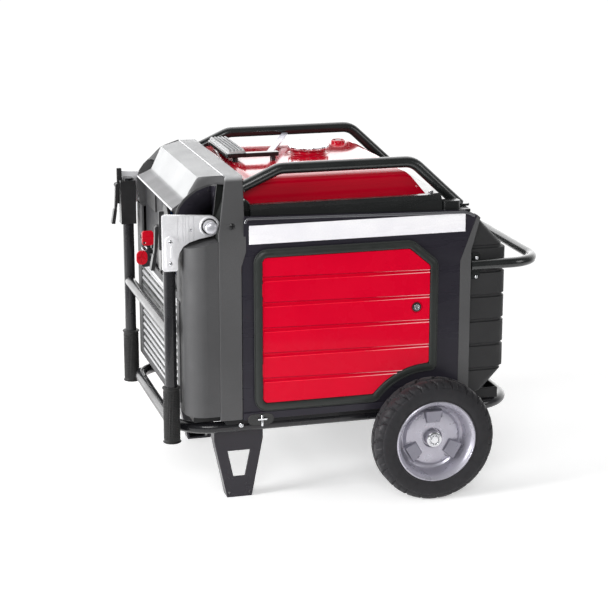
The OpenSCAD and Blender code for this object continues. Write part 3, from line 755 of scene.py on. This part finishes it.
def door_outline(grow, corner):
    """Door edge in (x, z): cut upper rear corner, arch over the wheel, rounded corners."""
    x0 = OPENING.x0 + SEAL_MARGIN - grow
    x1 = OPENING.x1 - SEAL_MARGIN + grow
    z0 = OPENING.z0 + SEAL_MARGIN - grow
    z1 = OPENING.z1 - SEAL_MARGIN + grow
    arch = WHEEL_R + 26 - grow
    first = pi - asin((z0 - WHEEL.z) / arch)
    last = acos(min(1.0, (x1 - WHEEL.x) / arch))
    turns = [first + (last - first) * k / 14 for k in range(15)]
    arch_points = [(WHEEL.x + arch * cos(t), WHEEL.z + arch * sin(t)) for t in turns]
    cut_corner = [(x1, z1 - 38 - 0.535 * grow), (x1 - 45 - 0.634 * grow, z1)]
    wide = corner * 1.1
    radii = [wide, corner] + [0] * 13 + [corner, corner, corner, wide]
    return rounded([(x0, z0)] + arch_points + cut_corner + [(x0, z1)], radii)


def add_groove_line(bm, part, z, low, high):
    """Painted light along one edge of a door groove: a dark red line that paints the shade in the crease, a
    bright red line that paints the highlight on the crest, or tapered pale lines that paint glints.
    """
    near = DOOR_FACE - (0.5 if part == "glint" else 0.25)
    lit = high - 146
    strips = {
        "crease": [[(low, z + 10.6), (low, z + 11.6), (high, z + 3.6), (high, z + 2.8)]],
        "crest": [[(low, z + 0.1), (low, z + 1.5), (high, z - 2.4), (high, z - 3.4)]],
        "glint": [
            [(lit, z - 1.7), (high, z - 3.4), (high, z - 1.4)],
            [(lit + 22, z + 6), (high, z + 2.4), (high, z + 3.8)],
        ],
    }[part]
    for strip in strips:
        prism(bm, strip, "Y", near, DOOR_FACE + 0.6)


def add_door(side):
    """Pressed red door: five tapered steps, a dished lock seat, hinge knuckles under the bead."""
    x0 = OPENING.x0
    x1 = OPENING.x1
    bm = prism(bmesh.new(), door_outline(0, 9), "Y", DOOR_FACE, DOOR_FACE + 9)
    grooves = [OPENING.z0 + SEAL_MARGIN + 43 + i * GROOVE_PITCH for i in range(5)]
    for z in grooves:
        mouth = [(x0, z + 0.4), (x1, z - 3), (x1, z + 3), (x0, z + 11.5)]
        bed = [(x0, z + 6), (x1, z + 0.4), (x1, z + 2), (x0, z + 9.5)]
        groove = wedge(bmesh.new(), [(x, DOOR_FACE - 0.4, h) for x, h in mouth],
                       [(x, DOOR_FACE + 3.2, h) for x, h in bed])
        bm = carved(bm, groove)
    lock_x = LOCK.x0 + LOCK_R
    lock_z = LOCK.middle().z
    seat = [(0, 0), (15, 0), (11.5, 6.5), (0, 6.5)]
    bm = carved(bm, lathe(bmesh.new(), seat, (lock_x, DOOR_FACE - 4.5, lock_z), "Y", 40))
    bm = cut(bm, circle(lock_x, lock_z, LOCK_R + 0.4), "Y", DOOR_FACE - 5, DOOR_FACE + 20)
    # Thin coloured strips over the grooves that paint their shade and highlights.
    for part in ("crease", "crest", "glint"):
        lines = bmesh.new()
        for z in grooves:
            clear = ARCH_CLEAR if z == grooves[0] else EDGE_CLEAR
            add_groove_line(lines, part, z, x0 + SEAL_MARGIN + 3, x1 - clear)
        piece("groove_" + part, lines, "door", side, look=part + "_red")
    for z in HINGE_HEIGHTS:
        low, high = z - HINGE_HALF, z + HINGE_HALF
        prism(bm, circle(HINGE_X, PANEL_FACE - 0.6, 2.3, 16), "Z", low, high)
        leaf = rectangle(HINGE_X, PANEL_FACE - 1.6, x0 + SEAL_MARGIN + 2, PANEL_FACE + 0.4)
        prism(bm, leaf, "Z", low, high)
    piece("door_skin", bm, "door", side, bevel=0.9, crease=25, covers=True)


def add_lock(side):
    """Chrome key barrel with a slot, the cam behind the door, and a rubber ring round the barrel."""
    x = LOCK.x0 + LOCK_R
    z = LOCK.middle().z
    rim = [(0, 0.9), (4.6, 0.9), (5, 0), (6.4, 0), (LOCK_R - 0.1, 0.8), (LOCK_R - 0.1, 15), (0, 15)]
    bm = lathe(bmesh.new(), rim, (x, DOOR_FACE - 1, z), "Y", 40)
    bm = cut(bm, rectangle(x - 0.7, z - 3.6, x + 0.7, z + 3.6), "Y", DOOR_FACE - 2, DOOR_FACE + 2)
    prism(bm, rectangle(LOCK.x0 + 1, z - 6, LOCK.x1, z + 6, 5), "Y", LOCK.y1 - 3.6, LOCK.y1)
    piece("key_barrel", bm, "door_lock", side, bevel=0.3, covers=True)
    seal = [(LOCK_R, 0), (LOCK_R + 2.4, 0.4), (LOCK_R + 3.4, 3), (LOCK_R, 3)]
    turned("key_ring_seal", "door", seal, (x, DOOR_FACE - 0.6, z), "Y", 40, side=side, look="switch_black")


def add_beads():
    """Rubber moulding round both door openings, with a raised outer line."""
    section = [
        (-7.6, 0), (-7.6, 2.8), (-6.4, 4.3), (-4, 5.0), (0, 5.0), (4, 3.9), (6.6, 2.4), (7.2, 1.9),
        (7.9, 2.3), (9.2, 2.3), (9.8, 1.5), (9.8, 0),
    ]
    for side in SIDES:
        path = [Vector((x, PANEL_FACE + 0.5, z)) for x, z in door_outline(8.8, 17)]
        bm = sweep(bmesh.new(), path, section, OUTWARD)
        piece("door_bead", bm, "door_seals", side, crease=50, covers=side == LEFT)


def add_panel_lip(side):
    """Rolled edge along the top of the side panel, in a lighter colour that paints its highlight."""
    panel = Box("side_panel_left")
    points = [
        (panel.x0 + 7, panel.z1 - 13), (panel.x0 + 9, panel.z1 - 4), (panel.x1 - 25, panel.z1 - 17),
        (panel.x1 - 7, panel.z1 - 26),
    ]
    path = smooth_path([(x, PANEL_FACE + 0.2, z) for x, z in points], 9)
    section = [(-2.6, 0), (-1.8, 1.5), (0, 2.1), (1.8, 1.5), (2.6, 0)]
    bm = sweep(bmesh.new(), path, section, OUTWARD, False)
    piece("panel_lip", bm, "side_panel", side, look="lip_shine", crease=60)


def add_deck_corner(side):
    """Moulded ramp that closes the gap between the front band and the deck's ridge."""
    profile = [(-234, 606), (-234, 650), (-226, 652), (-212, 636), (-212, 606)]
    slab("deck_corner", "top_cover", profile, "Y", -249, -206, side=side, bevel=3, crease=40)


for door_side in SIDES:
    add_deck_corner(door_side)
    add_door(door_side)
    add_lock(door_side)
    add_panel_lip(door_side)
add_beads()


# ---- front band and hood ----

BAND = Box("front_band")
VISOR = Box("visor")
BAND_SKIN = 6.0
BAND_FOOT = BAND.z0 - 11
BAND_TOP_HALF = 227.0
BAND_SHOULDER = 594.0
CHEEK_FACE = -211.4
CHEEK_BEND = -293


def band_section(inset):
    """The body's cross-section in (y, z) with soft shoulders and top corners."""
    half = BAND.y1 - inset
    top_half = BAND_TOP_HALF - 0.8 * inset
    top = BAND.z1 - inset
    corners = [
        (-half, BAND_FOOT - inset), (-half, BAND_SHOULDER), (-top_half, top), (top_half, top),
        (half, BAND_SHOULDER), (half, BAND_FOOT - inset),
    ]
    return rounded(corners, [0, 90, 15, 15, 90, 0], 8)


def add_front_band():
    """Grained arch between the nose and the side panels, silver on top, with a black inner wall."""
    panel = Box("side_panel_left").x0 - 0.8
    top = BAND.z1 + 1
    outline = [
        (BAND.x0, BAND_FOOT), (BAND.x0, 590), (VISOR.x1 + 2.5, top), (-229, top), (-236, 620), (-236, 552),
        (panel, 520), (panel, BAND_FOOT),
    ]
    through = (BAND.x0 - 5, BAND.x1 + 5)
    bm = prism(bmesh.new(), band_section(-0.8), "X", BAND.x0 - 1, -220)
    bm = cut(bm, band_section(BAND_SKIN), "X", *through)
    bm = cut(bm, outline, "Y", -BAND.y1 - 5, BAND.y1 + 5, "INTERSECT")
    piece("band_arch", bm, "front_band", look="band_front", bevel=1.6, crease=40, covers=True)
    wall = bmesh.new()
    slant = [
        (BAND.x0 + 2, BAND.z0), (BAND.x0 + 2, 590), (-251, 699), (-247, 699), (BAND.x0 + 6, 590),
        (BAND.x0 + 6, BAND.z0),
    ]
    seal = [(-297, 556), (-295, 590), (-292, 640), (-286, 686), (-262, 690), (-262, 556)]
    for side in SIDES:
        prism(wall, slant, "Y", *sorted((side * BAND.y1, side * 190)))
        prism(wall, seal, "Y", side * 204, side * 208)
    wall = cut(wall, band_section(BAND_SKIN - 0.5), "X", *through, "INTERSECT")
    piece("band_wall", wall, "front_band", look="seal_black")


def add_cheek(side):
    """Moulded end of the hood: a soft corner down to a smooth side plate with two screws."""
    visor_end = [
        (-267.5, -221, 699), (-280, -211.5, 697.3), (-293, -201.5, 695.4), (-305, -192.5, 693.4),
        (-313, -186.5, 691), (-318, -184.3, 685), (-324, -182.2, 674), (-330, -180.2, 662),
    ]
    plate_top = [
        (-267.5, -226, 683), (-281, -216.4, 681), (-297, CHEEK_FACE, 680), (-309, -211.2, 677),
        (-320, -211.2, 672.5), (-328, -211.2, 668), (-335, -211.2, 663.5), (-341, -211.2, 658),
    ]
    rows = []
    for k in range(7):
        swell = Vector((0, -0.45, 4.05)) * sin(pi * k / 6)
        rows.append([Vector(a).lerp(Vector(b), k / 6) + swell for a, b in zip(visor_end, plate_top)])
    corner = sheet(bmesh.new(), rows, (0, 2.5, -2))
    piece("cheek_corner", corner, "front_housing", side, crease=60)
    flat = [
        (CHEEK_BEND, 676.75), (-299, 676), (-321, 668), (-337, 657), (-348, 647), (-357.5, 634),
        (-362.5, 619), (-364, 600), (-300, 590), (CHEEK_BEND, 609.1),
    ]
    flare = [(-283, 678), (CHEEK_BEND, 676.75), (CHEEK_BEND, 609.1), (-289, 620)]
    plate = bmesh.new()
    for outline in (flat, flare):
        front = [(x, CHEEK_FACE - max(0.0, x - CHEEK_BEND) * 0.75, z) for x, z in outline]
        wedge(plate, front, [(x, y + 1.6, z) for x, y, z in front])
    piece("cheek_plate", plate, "front_housing", side, look="panel_dark", crease=50)
    screws = cross_screws(((-318, 661), (-297, 668)), CHEEK_FACE + 0.9, 3.0)
    piece("cheek_screws", screws, "front_housing", side, look="lever_black", bevel=0.2)


GRILLE_PITCH = 15.5
GRILLE_GAPS = ((-207, -107), (-101, -3), (3, 101), (107, 207))


def add_grille_shade_and_edges():
    """Black sheets between the intake louvres that paint the shade in the slots, and the housing's edges
    either side of them.
    """
    grille = Box("intake_grille")
    front = grille.x0
    gap_shade = bmesh.new()
    for i in range(13):
        z = grille.z0 + 13.6 + i * GRILLE_PITCH
        slit = [(front - 0.4, z - 6.4), (front + 5, z - 5), (front + 5, z - 1), (front - 0.4, z - 0.8)]
        for low, high in GRILLE_GAPS:
            prism(gap_shade, slit, "Y", low, high)
    # Black sheets painting the shade between the louvres.
    piece("grille_gaps", gap_shade, "intake_grille", look="seal_black")
    edges = bmesh.new()
    for side in SIDES:
        low, high = sorted((side * (grille.y1 + 0.6), side * (grille.y1 - 23)))
        prism(edges, rectangle(front - 1.4, low, front + 4, high, 1), "Z", grille.z0 - 1, grille.z1 + 1)
    piece("grille_edges", edges, "front_housing", bevel=0.8)


def add_visor_painted_highlights():
    """Thin white tubes that paint highlights on the rolled edges: where the hood meets the band, and along
    its lip.
    """
    bm = bmesh.new()
    back = VISOR.x1 + 1
    tube(bm, [Vector((back, y, VISOR.z1 + 0.4)) for y in (-221, -70, 70, 221)], 0.9, 8)
    lip = VISOR.x0 + 1.2
    tube(bm, [Vector((lip, y, VISOR.z0 + 4.2)) for y in (-187, -60, 60, 187)], 1.2, 8)
    piece("visor_trim", bm, "visor", look="strip_white")


# ---- rear cover ----

REAR = Box("rear_cover")
OUTLET = Box("exhaust_outlet")
SHELL = 4.0
REAR_FOOT = 52
REAR_SLOPE = 72
LOUVRE_Z = 300
LOUVRE_PITCH = 22


def rear_reach(z):
    """How far back the rear cover stands at a height: tapered foot, upright face, sloped top."""
    foot = REAR.z0 + REAR_FOOT - z
    slope = z - REAR.z1 + REAR_SLOPE
    return REAR.x1 - max(0.0, foot, slope * 71 / REAR_SLOPE)


def rear_section(z, inset):
    """Plan of the rear cover at a height, open to the front, with rounded rear corners."""
    half = REAR.y1 - inset
    back = rear_reach(z) - inset
    outline = rounded([(REAR.x0, -half), (back, -half), (back, half), (REAR.x0, half)], [0, 24, 24, 0], 8)
    return [Vector((x, y, z)) for x, y in outline]


def rear_solid(levels, front):
    """A solid through the cover's plans at several (height, inset), with its front edge at a place."""
    bm = bmesh.new()
    rings = [[bm.verts.new(point) for point in rear_section(z, inset)] for z, inset in levels]
    for ring in rings:
        ring[0].co.x = ring[-1].co.x = front
    for lower, upper in zip(rings, rings[1:]):
        bridge(bm, lower, upper, closed=False)
    bm.faces.new(rings[0][::-1])
    bm.faces.new(rings[-1])
    bm.faces.new([ring[0] for ring in rings[::-1]] + [ring[-1] for ring in rings])
    return bm


def add_rear_cover():
    """Moulded hood with grooves round three sides, louvres and a seat for the tailpipe."""
    levels = [(REAR.z0, 3), (REAR.z0 + 3, 0)]
    for i in range(6):
        z = REAR.z0 + REAR_FOOT + i * GROOVE_PITCH
        levels += [(z - 4.5, 0), (z - 3, 3), (z + 1, 3), (z + 3.5, 0)]
    levels += [(REAR.z1 - REAR_SLOPE, 0), (REAR.z1 - 40, 0), (REAR.z1 - 4, 0), (REAR.z1, 4)]
    bm = rear_solid(sorted(level for level in levels if level[0] <= REAR.z1), REAR.x0)
    heights = (REAR.z0 + SHELL, REAR.z0 + REAR_FOOT + 4, REAR.z1 - REAR_SLOPE - 2, REAR.z1 - SHELL - 2)
    bm = carved(bm, rear_solid([(z, SHELL + 2) for z in heights], REAR.x0 - 5))
    middle = OUTLET.middle()
    inner, outer = REAR.x1 - 14, REAR.x1 + 10
    bm = cut(bm, circle(middle.y, middle.z, 41, 48), "X", inner, outer)
    slats = bmesh.new()
    for k in range(7):
        z = LOUVRE_Z + k * LOUVRE_PITCH
        bm = cut(bm, rectangle(-40, z, 190, z + 11, 4), "X", inner, outer)
        slat = [(REAR.x1 - 1, z + 1), (inner, z + 10), (inner, z + 12), (REAR.x1 - 1, z + 3)]
        prism(slats, slat, "Y", -42, 192)
    piece("rear_hood", bm, "rear_cover", bevel=0.8, crease=25, covers=True)
    piece("rear_louvres", slats, "rear_cover", bevel=0.6)


def add_tailpipe():
    """Outlet with a rolled rim, a flat flange and six rivets."""
    middle = OUTLET.middle()
    profile = [
        (21, -8), (21, 1), (22, 3.6), (24, 4), (26, 2.6), (27, -1), (36, -2), (38, 0.5), (40, 0.5),
        (40.4, -1), (40.4, -6), (26, -8),
    ]
    bm = lathe(bmesh.new(), profile, (OUTLET.x1 - 4, middle.y, middle.z), "X", 64)
    for k in range(6):
        turn = tau * k / 6
        centre = (OUTLET.x1 - 5, middle.y + 32 * cos(turn), middle.z + 32 * sin(turn))
        lathe(bm, [(0, 2.5), (2.6, 2.2), (3.2, 0), (3.2, -2), (0, -2)], centre, "X", 12)
    piece("tailpipe_rim", bm, "exhaust_outlet", bevel=0.5, covers=True)


add_rear_cover()
add_tailpipe()


# ---- tank, cap and gauge ----

TANK = Box("fuel_tank")
CAP = Box("fuel_cap")
GAUGE = Box("fuel_gauge")
TANK_TOP = GAUGE.z0
TANK_HALF = 206.0
NECK_R = 40


def add_brace():
    """Black frame on the tank, its ribbed pad, and the flat stay to the far rail."""
    low = TANK_TOP + 10
    bm = prism(bmesh.new(), rectangle(-216, -32, -171, 150, 4), "Z", low, low + 9)
    prism(bm, rectangle(-180, -32, -100, -14, 4), "Z", low, low + 9)
    for x, y in ((-195, -23), (-195, 130), (-112, -23)):
        prism(bm, circle(x, y, 6, 20), "Z", TANK_TOP - 2, low + 2)
    piece("brace_frame", bm, "fuel_tank", look="deck_black", bevel=1.2)
    pad = prism(bmesh.new(), rectangle(-213, -29, -174, 147, 5), "Z", low + 8, low + 14)
    for i in range(5):
        x = -211 + i * 7.6
        prism(pad, rectangle(x, -27, x + 4.4, 145, 1.5), "Z", low + 13, low + 17)
    piece("brace_pad", pad, "fuel_tank", look="hood_silver", bevel=0.9)
    along = Vector((98, 232)).normalized()
    wide = Vector((-along.y, along.x)) * 7
    start = Vector((-120, -21))
    end = start + along * 252
    strap = rounded([start - wide, end - wide, end + wide, start + wide], 5)
    slab("brace_stay", "fuel_tank", strap, "Z", low + 2, low + 7, look="rim_silver", bevel=0.8)


def add_tank():
    """Pressed tank with soft edges and a sloped end, a welded seam flange and a rolled neck."""
    half = TANK_HALF
    back = 178
    sloped_ends = rounded([
        (TANK.x0, TANK.z0), (TANK.x0, TANK_TOP), (back - 50, TANK_TOP), (back, TANK_TOP - 60),
        (back, TANK.z0),
    ], [0, 26, 40, 30, 0], 7)
    sloped_sides = rounded([
        (-half, TANK.z0), (-half - 0.1, TANK_TOP), (half + 0.1, TANK_TOP), (half, TANK.z0),
    ], [0, 27, 27, 0], 7)
    bm = prism(bmesh.new(), sloped_ends, "Y", -half - 5, half + 5)
    bm = cut(bm, sloped_sides, "X", TANK.x0 - 5, TANK.x1 + 5, "INTERSECT")
    piece("tank_shell", bm, "fuel_tank", bevel=6, segments=5, crease=38, covers=True)
    seam = rectangle(TANK.x0 - 1.5, -half - 3, back + 3, half + 3, 14)
    slab("tank_seam", "fuel_tank", seam, "Z", TANK_TOP - 72, TANK_TOP - 69, bevel=1)
    middle = CAP.middle()
    profile = [
        (NECK_R + 9, -3), (NECK_R + 6, 0.5), (NECK_R + 2.5, 1.5), (NECK_R, 3.5), (NECK_R - 0.5, 5.5),
        (NECK_R, 7.6), (NECK_R - 1.5, 8), (30, 8), (30, -4),
    ]
    turned("filler_neck", "fuel_tank", profile, (middle.x, middle.y, TANK_TOP), "Z", crease=60)


def knurl(radius, height, turn):
    """Ribs round the skirt of the cap."""
    if radius > 42:
        radius -= 1.7 * (0.5 + 0.5 * cos(turn * 40)) ** 2
    return radius, height


def add_cap():
    """Domed chrome cap with a knurled skirt and a stem."""
    middle = CAP.middle()
    skirt = TANK_TOP + 8.8
    profile = [
        (0, CAP.z1), (14, CAP.z1 - 0.5), (26, CAP.z1 - 2), (34, CAP.z1 - 4.2), (38.5, CAP.z1 - 7),
        (41, CAP.z1 - 8.4), (44.4, CAP.z1 - 9.4), (45, skirt + 8.5), (45, skirt + 2), (44, skirt + 0.4),
        (41, skirt), (8, skirt), (8, CAP.z0), (0, CAP.z0),
    ]
    middle.z = 0
    turned("cap_dome", "fuel_cap", profile, middle, "Z", 320, knurl, crease=40, covers=True)


def add_gauge():
    """Rounded ring with a domed clear window."""
    middle = GAUGE.middle()
    middle.z = TANK_TOP
    ring = [(16, 0), (16, 3.4), (14.6, 5), (12.4, 6.2), (11, 6), (10.6, 4), (10.6, 0)]
    turned("gauge_ring", "fuel_gauge", ring, middle, "Z", 48, crease=40, covers=True)
    dome = [(0, 6.6), (5, 6.2), (9, 5), (10.7, 3.6), (10.7, 0), (0, 0)]
    turned("gauge_window", "fuel_gauge", dome, middle, "Z", 40, look="gauge_lens", crease=60)


add_tank()
add_brace()
add_cap()
add_gauge()


# ---- folding handle ----

GRIP = Box("grip_left")
BRACKET = Box("handle_bracket_left")
BOLTS = Box("bolts")
PIVOT = Vector((-305, 0, 602))
WAFFLE_PITCH = 3.6
WAFFLE_COUNT = 32
TUBE_FACE = PANEL_FACE + 32


def add_spare_key():
    """Split ring through the ignition key with a slotted red fob and a dark tag."""
    box = Box("spare_key")
    hinge = Vector((box.x0 + 20, box.middle().y, box.z1 - 5))
    outline = rectangle(box.x0, hinge.z - 34, hinge.x + 4, hinge.z - 3, 11)
    fob = prism(bmesh.new(), outline, "Y", box.y0, box.y0 + 4)
    x, z = box.x0 + 12, hinge.z - 19
    for wide, high in ((9, 1.6), (1.6, 11)):
        fob = cut(fob, rectangle(x - wide, z - high, x + wide, z + high, 1), "Y", box.y0 - 1, box.y0 + 1.6)
    piece("key_fob", fob, "spare_key", look="key_red", bevel=0.8, covers=True)
    outline = rectangle(hinge.x - 5, box.z0, box.x1, hinge.z - 3, 4)
    slab("key_tag", "spare_key", outline, "Y", box.y1 - 3, box.y1, look="tag_grey", bevel=0.6)
    ring = bmesh.new()
    turns = [tau * k / 32 for k in range(32)]
    loop = [hinge + Vector((cos(t) * 5.2, sin(t) * 9.5, sin(t) * 2.5 - 1)) for t in turns]
    tube(ring, loop, 0.9, 10, closed=True)
    for shift in (0, 1.6):
        drop = [hinge + Vector((x + shift, y, z)) for x, y, z in ((-3, 8, -2), (4, 9, -16), (9, 9, -32))]
        tube(ring, drop, 0.6, 8)
    piece("split_ring", ring, "spare_key", look="bright_steel")


def waffle(radius, height, turn):
    """Small raised squares all round the grip."""
    if 8 < height < 112 and radius > 15:
        lifted = height % WAFFLE_PITCH > 0.9 and (turn * WAFFLE_COUNT / tau) % 1.0 > 0.25
        radius += 0.5 if lifted else -0.5
    return radius, height


def add_grip(side):
    """Soft grip with a fine square pattern between two flanges."""
    middle = GRIP.middle()
    length = GRIP.z1 - GRIP.z0
    flange = (GRIP.x1 - GRIP.x0) / 2
    profile = [(0, 0.4), (flange - 4, 0), (flange - 1, 0.8), (flange, 2), (flange - 1, 3.4),
               (flange - 2.4, 4.6)]
    profile += [(flange - 2.6, 6 + k * 0.9) for k in range(int((length - 12) / 0.9))]
    profile += [(flange - 2.4, length - 4.6), (flange - 1, length - 3.4), (flange, length - 2),
                (flange - 1, length - 0.6), (flange - 4, length), (12.6, length), (12.6, length - 3)]
    middle.z = GRIP.z0
    turned("grip_sleeve", "grip", profile, middle, "Z", 128, waffle, side=side, crease=40, covers=True)


def bracket_outline():
    """Cast arm in (x, z): rounded pivot end, straight top, swept under to the leg beside the tube."""
    x0, z0, z1 = BRACKET.x0, BRACKET.z0, BRACKET.z1
    turns = [radians(95 - 190 * k / 16) for k in range(17)]
    eye = [(PIVOT.x + 21.5 * cos(t), PIVOT.z + 21.5 * sin(t)) for t in turns]
    under = [(-326, 577), (-346, 571), (-359, 563), (-367, 551), (-371, 536), (-371, z0), (x0, z0)]
    return rounded([(x0, z1)] + eye + under, [5] + [0] * 17 + [8, 8, 8, 8, 6, 5, 5])


def add_bracket(side):
    """Cast arm with shallow grooves, a pin hole and a pivot bore; a clamp boss, its guard and screws."""
    near = BRACKET.y0 - 2
    face = BRACKET.y0 + 3
    back = BRACKET.y1
    bm = prism(bmesh.new(), bracket_outline(), "Y", face + 1, back)
    for x, width in ((-371, 2.2), (-360, 1.6), (-355, 1.6), (-348, 1.6), (-338, 1.6)):
        bm = cut(bm, rectangle(x, 572, x + width, BRACKET.z1 - 4), "Y", face - 2, face + 2.6)
    prism(bm, rectangle(-396, 518, -377, 586, 9), "Y", BRACKET.y0, face + 4)
    bm = cut(bm, rectangle(-386, 541, -381.5, 566, 2), "Y", near, face + 6)
    bm = cut(bm, rectangle(-346, 592, -341, 599, 1.4), "Y", near, face + 8)
    bm = cut(bm, circle(PIVOT.x, PIVOT.z, 8.1), "Y", near, back + 2)
    node = "handle_bracket"
    piece("cast_arm", bm, node, side, bevel=1.0, crease=28, covers=True)
    guard = rectangle(-407, 556, -396, 637, 2)
    slab("clamp_guard", node, guard, "Y", back - 2, back + 4, side=side, look="lever_black", bevel=0.8)
    screws = cross_screws(((-386.5, 530), (-386.5, 575)), BRACKET.y0, 4.6)
    piece("clamp_screws", screws, node, side, look="bright_steel", bevel=0.2)


def cross_screws(places, face, radius):
    """Pan-head screws facing -Y, each with a cross recess, at places in (x, z)."""
    bm = bmesh.new()
    profile = [(0, -radius * 0.42), (radius * 0.6, -radius * 0.36), (radius * 0.92, -radius * 0.16),
               (radius, 0.3), (radius, 1.0), (0, 1.0)]
    bar = radius * 0.17
    reach = radius * 0.6
    for x, z in places:
        head = lathe(bmesh.new(), profile, (x, face, z), "Y", 28)
        for wide, high in ((reach, bar), (bar, reach)):
            recess = rectangle(x - wide, z - high, x + wide, z + high)
            head = cut(head, recess, "Y", face - radius, face - radius * 0.1)
        merge(bm, head)
    return bm


def add_pivot(side):
    """Domed pivot bolt, the raised ring round it, and a black ring in the gap between the two that paints
    its shade.
    """
    face = BRACKET.y0 + 3
    node = "handle_bracket"
    ring = [(16.6, 1.2), (16.6, -1.6), (17.6, -2.6), (19.4, -2.6), (20.6, -1.4), (20.8, 1.2)]
    turned("pivot_ring", node, ring, (PIVOT.x, face + 1, PIVOT.z), "Y", 56, side=side, crease=40)
    bolt = [
        (0, 8.2), (5, 8.4), (8.6, 9.2), (11, 10.4), (12.4, 11.8), (13, 13.4), (13, 15.2), (7.9, 15.2),
        (7.9, 50), (0, 50),
    ]
    turned("pivot_bolt", "bolts", bolt, (PIVOT.x, BOLTS.y0, PIVOT.z), "Y", 56, side=side,
           look="bolt_zinc", bevel=0.3, covers=side == LEFT)
    # A black ring that paints the shade in the gap round the bolt.
    gap = [(13.4, 1.4), (13.4, 0.2), (16.2, 0.2), (16.2, 1.4)]
    turned("pivot_gap", node, gap, (PIVOT.x, face + 0.4, PIVOT.z), "Y", 56, side=side, look="switch_black")


def add_fasteners(side):
    """Band screw, deck bolt, base screw, rear handle screws, and the tie-down stud on a black slab that
    paints the shade of its recess.
    """
    band = cross_screws([(-266, 607)], PANEL_FACE - 0.6, 6.6)
    piece("band_screws", band, "bolts", side, look="lever_black", bevel=0.25)
    deck_bolt = [(0, 5), (4.4, 4.8), (5.8, 3.4), (6, 0.1), (0, 0.1)]
    bright = lathe(bmesh.new(), deck_bolt, (170, -246, Box("top_cover").z1), "Z", 6)
    merge(bright, cross_screws([(-243, 174)], TUBE_FACE - 1, 5.4))
    merge(bright, cross_screws([(262.5, 507), (262, 466)], 3 - Box("rear_handle").y1, 3.6))
    piece("studs", bright, "bolts", side, bevel=0.3)
    # A black slab that paints the shade of the stud's recess.
    pocket_shade = rectangle(-236, 182, -181, 206, 11.5)
    slab("stud_pocket", "side_panel", pocket_shade, "Y", PANEL_FACE - 0.3, PANEL_FACE + 6, side=side,
         look="deck_black", bevel=0.6)
    shank = [(0, 23), (1.8, 23), (2.4, 22), (2.4, 0), (0, 0)]
    stud = lathe(bmesh.new(), shank, (-206, PANEL_FACE - 2.4, 180), "Z", 16)
    prism(stud, rectangle(-216, 193, -196, 196.4, 1.4), "Y", PANEL_FACE - 5, PANEL_FACE - 1)
    piece("tie_stud", stud, "side_panel", side, look="bright_steel", bevel=0.3)


def add_lower_edges(side):
    """Sill of the pan beside the frame tube, and the skirt under the side panel."""
    panel = Box("side_panel_left")
    sill = rectangle(-276, 176, panel.x1, panel.z0 + 6, 3)
    slab("sill", "base_pan", sill, "Y", TUBE_FACE, TUBE_FACE + 12, side=side, bevel=0.8)
    skirt = rectangle(panel.x0, panel.z0 - 11, panel.x1, panel.z0 + 4)
    slab("panel_skirt", "side_panel", skirt, "Y", PANEL_FACE + 0.6, PANEL_FACE + 9, side=side, bevel=0.8)


for handle_side in SIDES:
    add_grip(handle_side)
    add_bracket(handle_side)
    add_pivot(handle_side)
    add_fasteners(handle_side)
    add_lower_edges(handle_side)
    add_cheek(handle_side)
add_front_band()
add_visor_painted_highlights()
add_grille_shade_and_edges()
add_spare_key()


# ---- light, floor and view ----


FLOOR_R = 1500
FLOOR_Z = -0.3
STUDIO_WHITE = 1.05
STUDIO_FILL = 0.27
DIM_REFLECTION = 0.16
BRIGHT_REFLECTION = 2.6


def add_softbox(name, place, aim, size, power):
    data = bpy.data.lights.new(name, "AREA")
    data.shape = "RECTANGLE"
    data.size, data.size_y = size
    data.energy = power
    lamp = bpy.data.objects.new(name, data)
    scene.collection.objects.link(lamp)
    lamp.location = place
    lamp.rotation_euler = (Vector(place) - Vector(aim)).to_track_quat("Z", "Y").to_euler()


def add_world():
    """White studio: seen white, an even dim fill, and for reflections dark in front, bright behind."""
    world = bpy.data.worlds.new("studio")
    scene.world = world
    world.use_nodes = True
    tree = world.node_tree
    tree.nodes.clear()

    def add(kind, **values):
        return set_inputs(tree.nodes.new("ShaderNode" + kind), **values)

    def background(strength):
        return add("Background", Color=(1, 1, 1), Strength=strength).outputs["Background"]

    def instead(ray, usual, chosen):
        """One background for one kind of ray, another for the rest."""
        mixer = add("MixShader", Fac=rays.outputs[ray])
        feed(mixer.inputs[1], usual)
        feed(mixer.inputs[2], chosen)
        return mixer.outputs["Shader"]

    rays = add("LightPath")
    direction = add("TexCoord").outputs["Generated"]
    depth = add("SeparateXYZ", Vector=direction).outputs["Y"]
    bright = add("MapRange", Value=depth, From_Min=-0.2, From_Max=0.9)
    set_inputs(bright, To_Min=DIM_REFLECTION, To_Max=BRIGHT_REFLECTION)
    bright.interpolation_type = "SMOOTHSTEP"
    reflected = background(bright.outputs["Result"])
    lit = instead("Is Diffuse Ray", reflected, background(STUDIO_FILL))
    add("OutputWorld", Surface=instead("Is Camera Ray", lit, background(STUDIO_WHITE)))


def add_floor():
    """A round paper floor, just under the wheels and feet."""
    bm = bmesh.new()
    bmesh.ops.create_grid(bm, x_segments=24, y_segments=24, size=FLOOR_R)
    for vert in bm.verts:
        reach = max(abs(vert.co.x), abs(vert.co.y))
        if vert.co.length > 0:
            vert.co *= reach / vert.co.length
        vert.co.z = FLOOR_Z
    bmesh.ops.scale(bm, vec=(MM, MM, MM), verts=bm.verts)
    floor = to_object("floor", bm)
    floor.data.materials.append(LOOK["floor_paper"])


add_world()
add_floor()
add_softbox("key", (-1.2, -3.9, 2.4), (0, 0, 0.35), (2.0, 1.6), 70)
add_softbox("front", (-3.9, -0.7, 1.1), (0, 0, 0.5), (1.4, 1.8), 195)
add_softbox("fill", (2.8, -2.6, 1.4), (0, 0, 0.35), (1.2, 1.6), 18)
add_softbox("top", (0.3, 0.9, 2.8), (0, 0, 0.3), (2.6, 2.2), 16)
scene.view_settings.view_transform = "Standard"
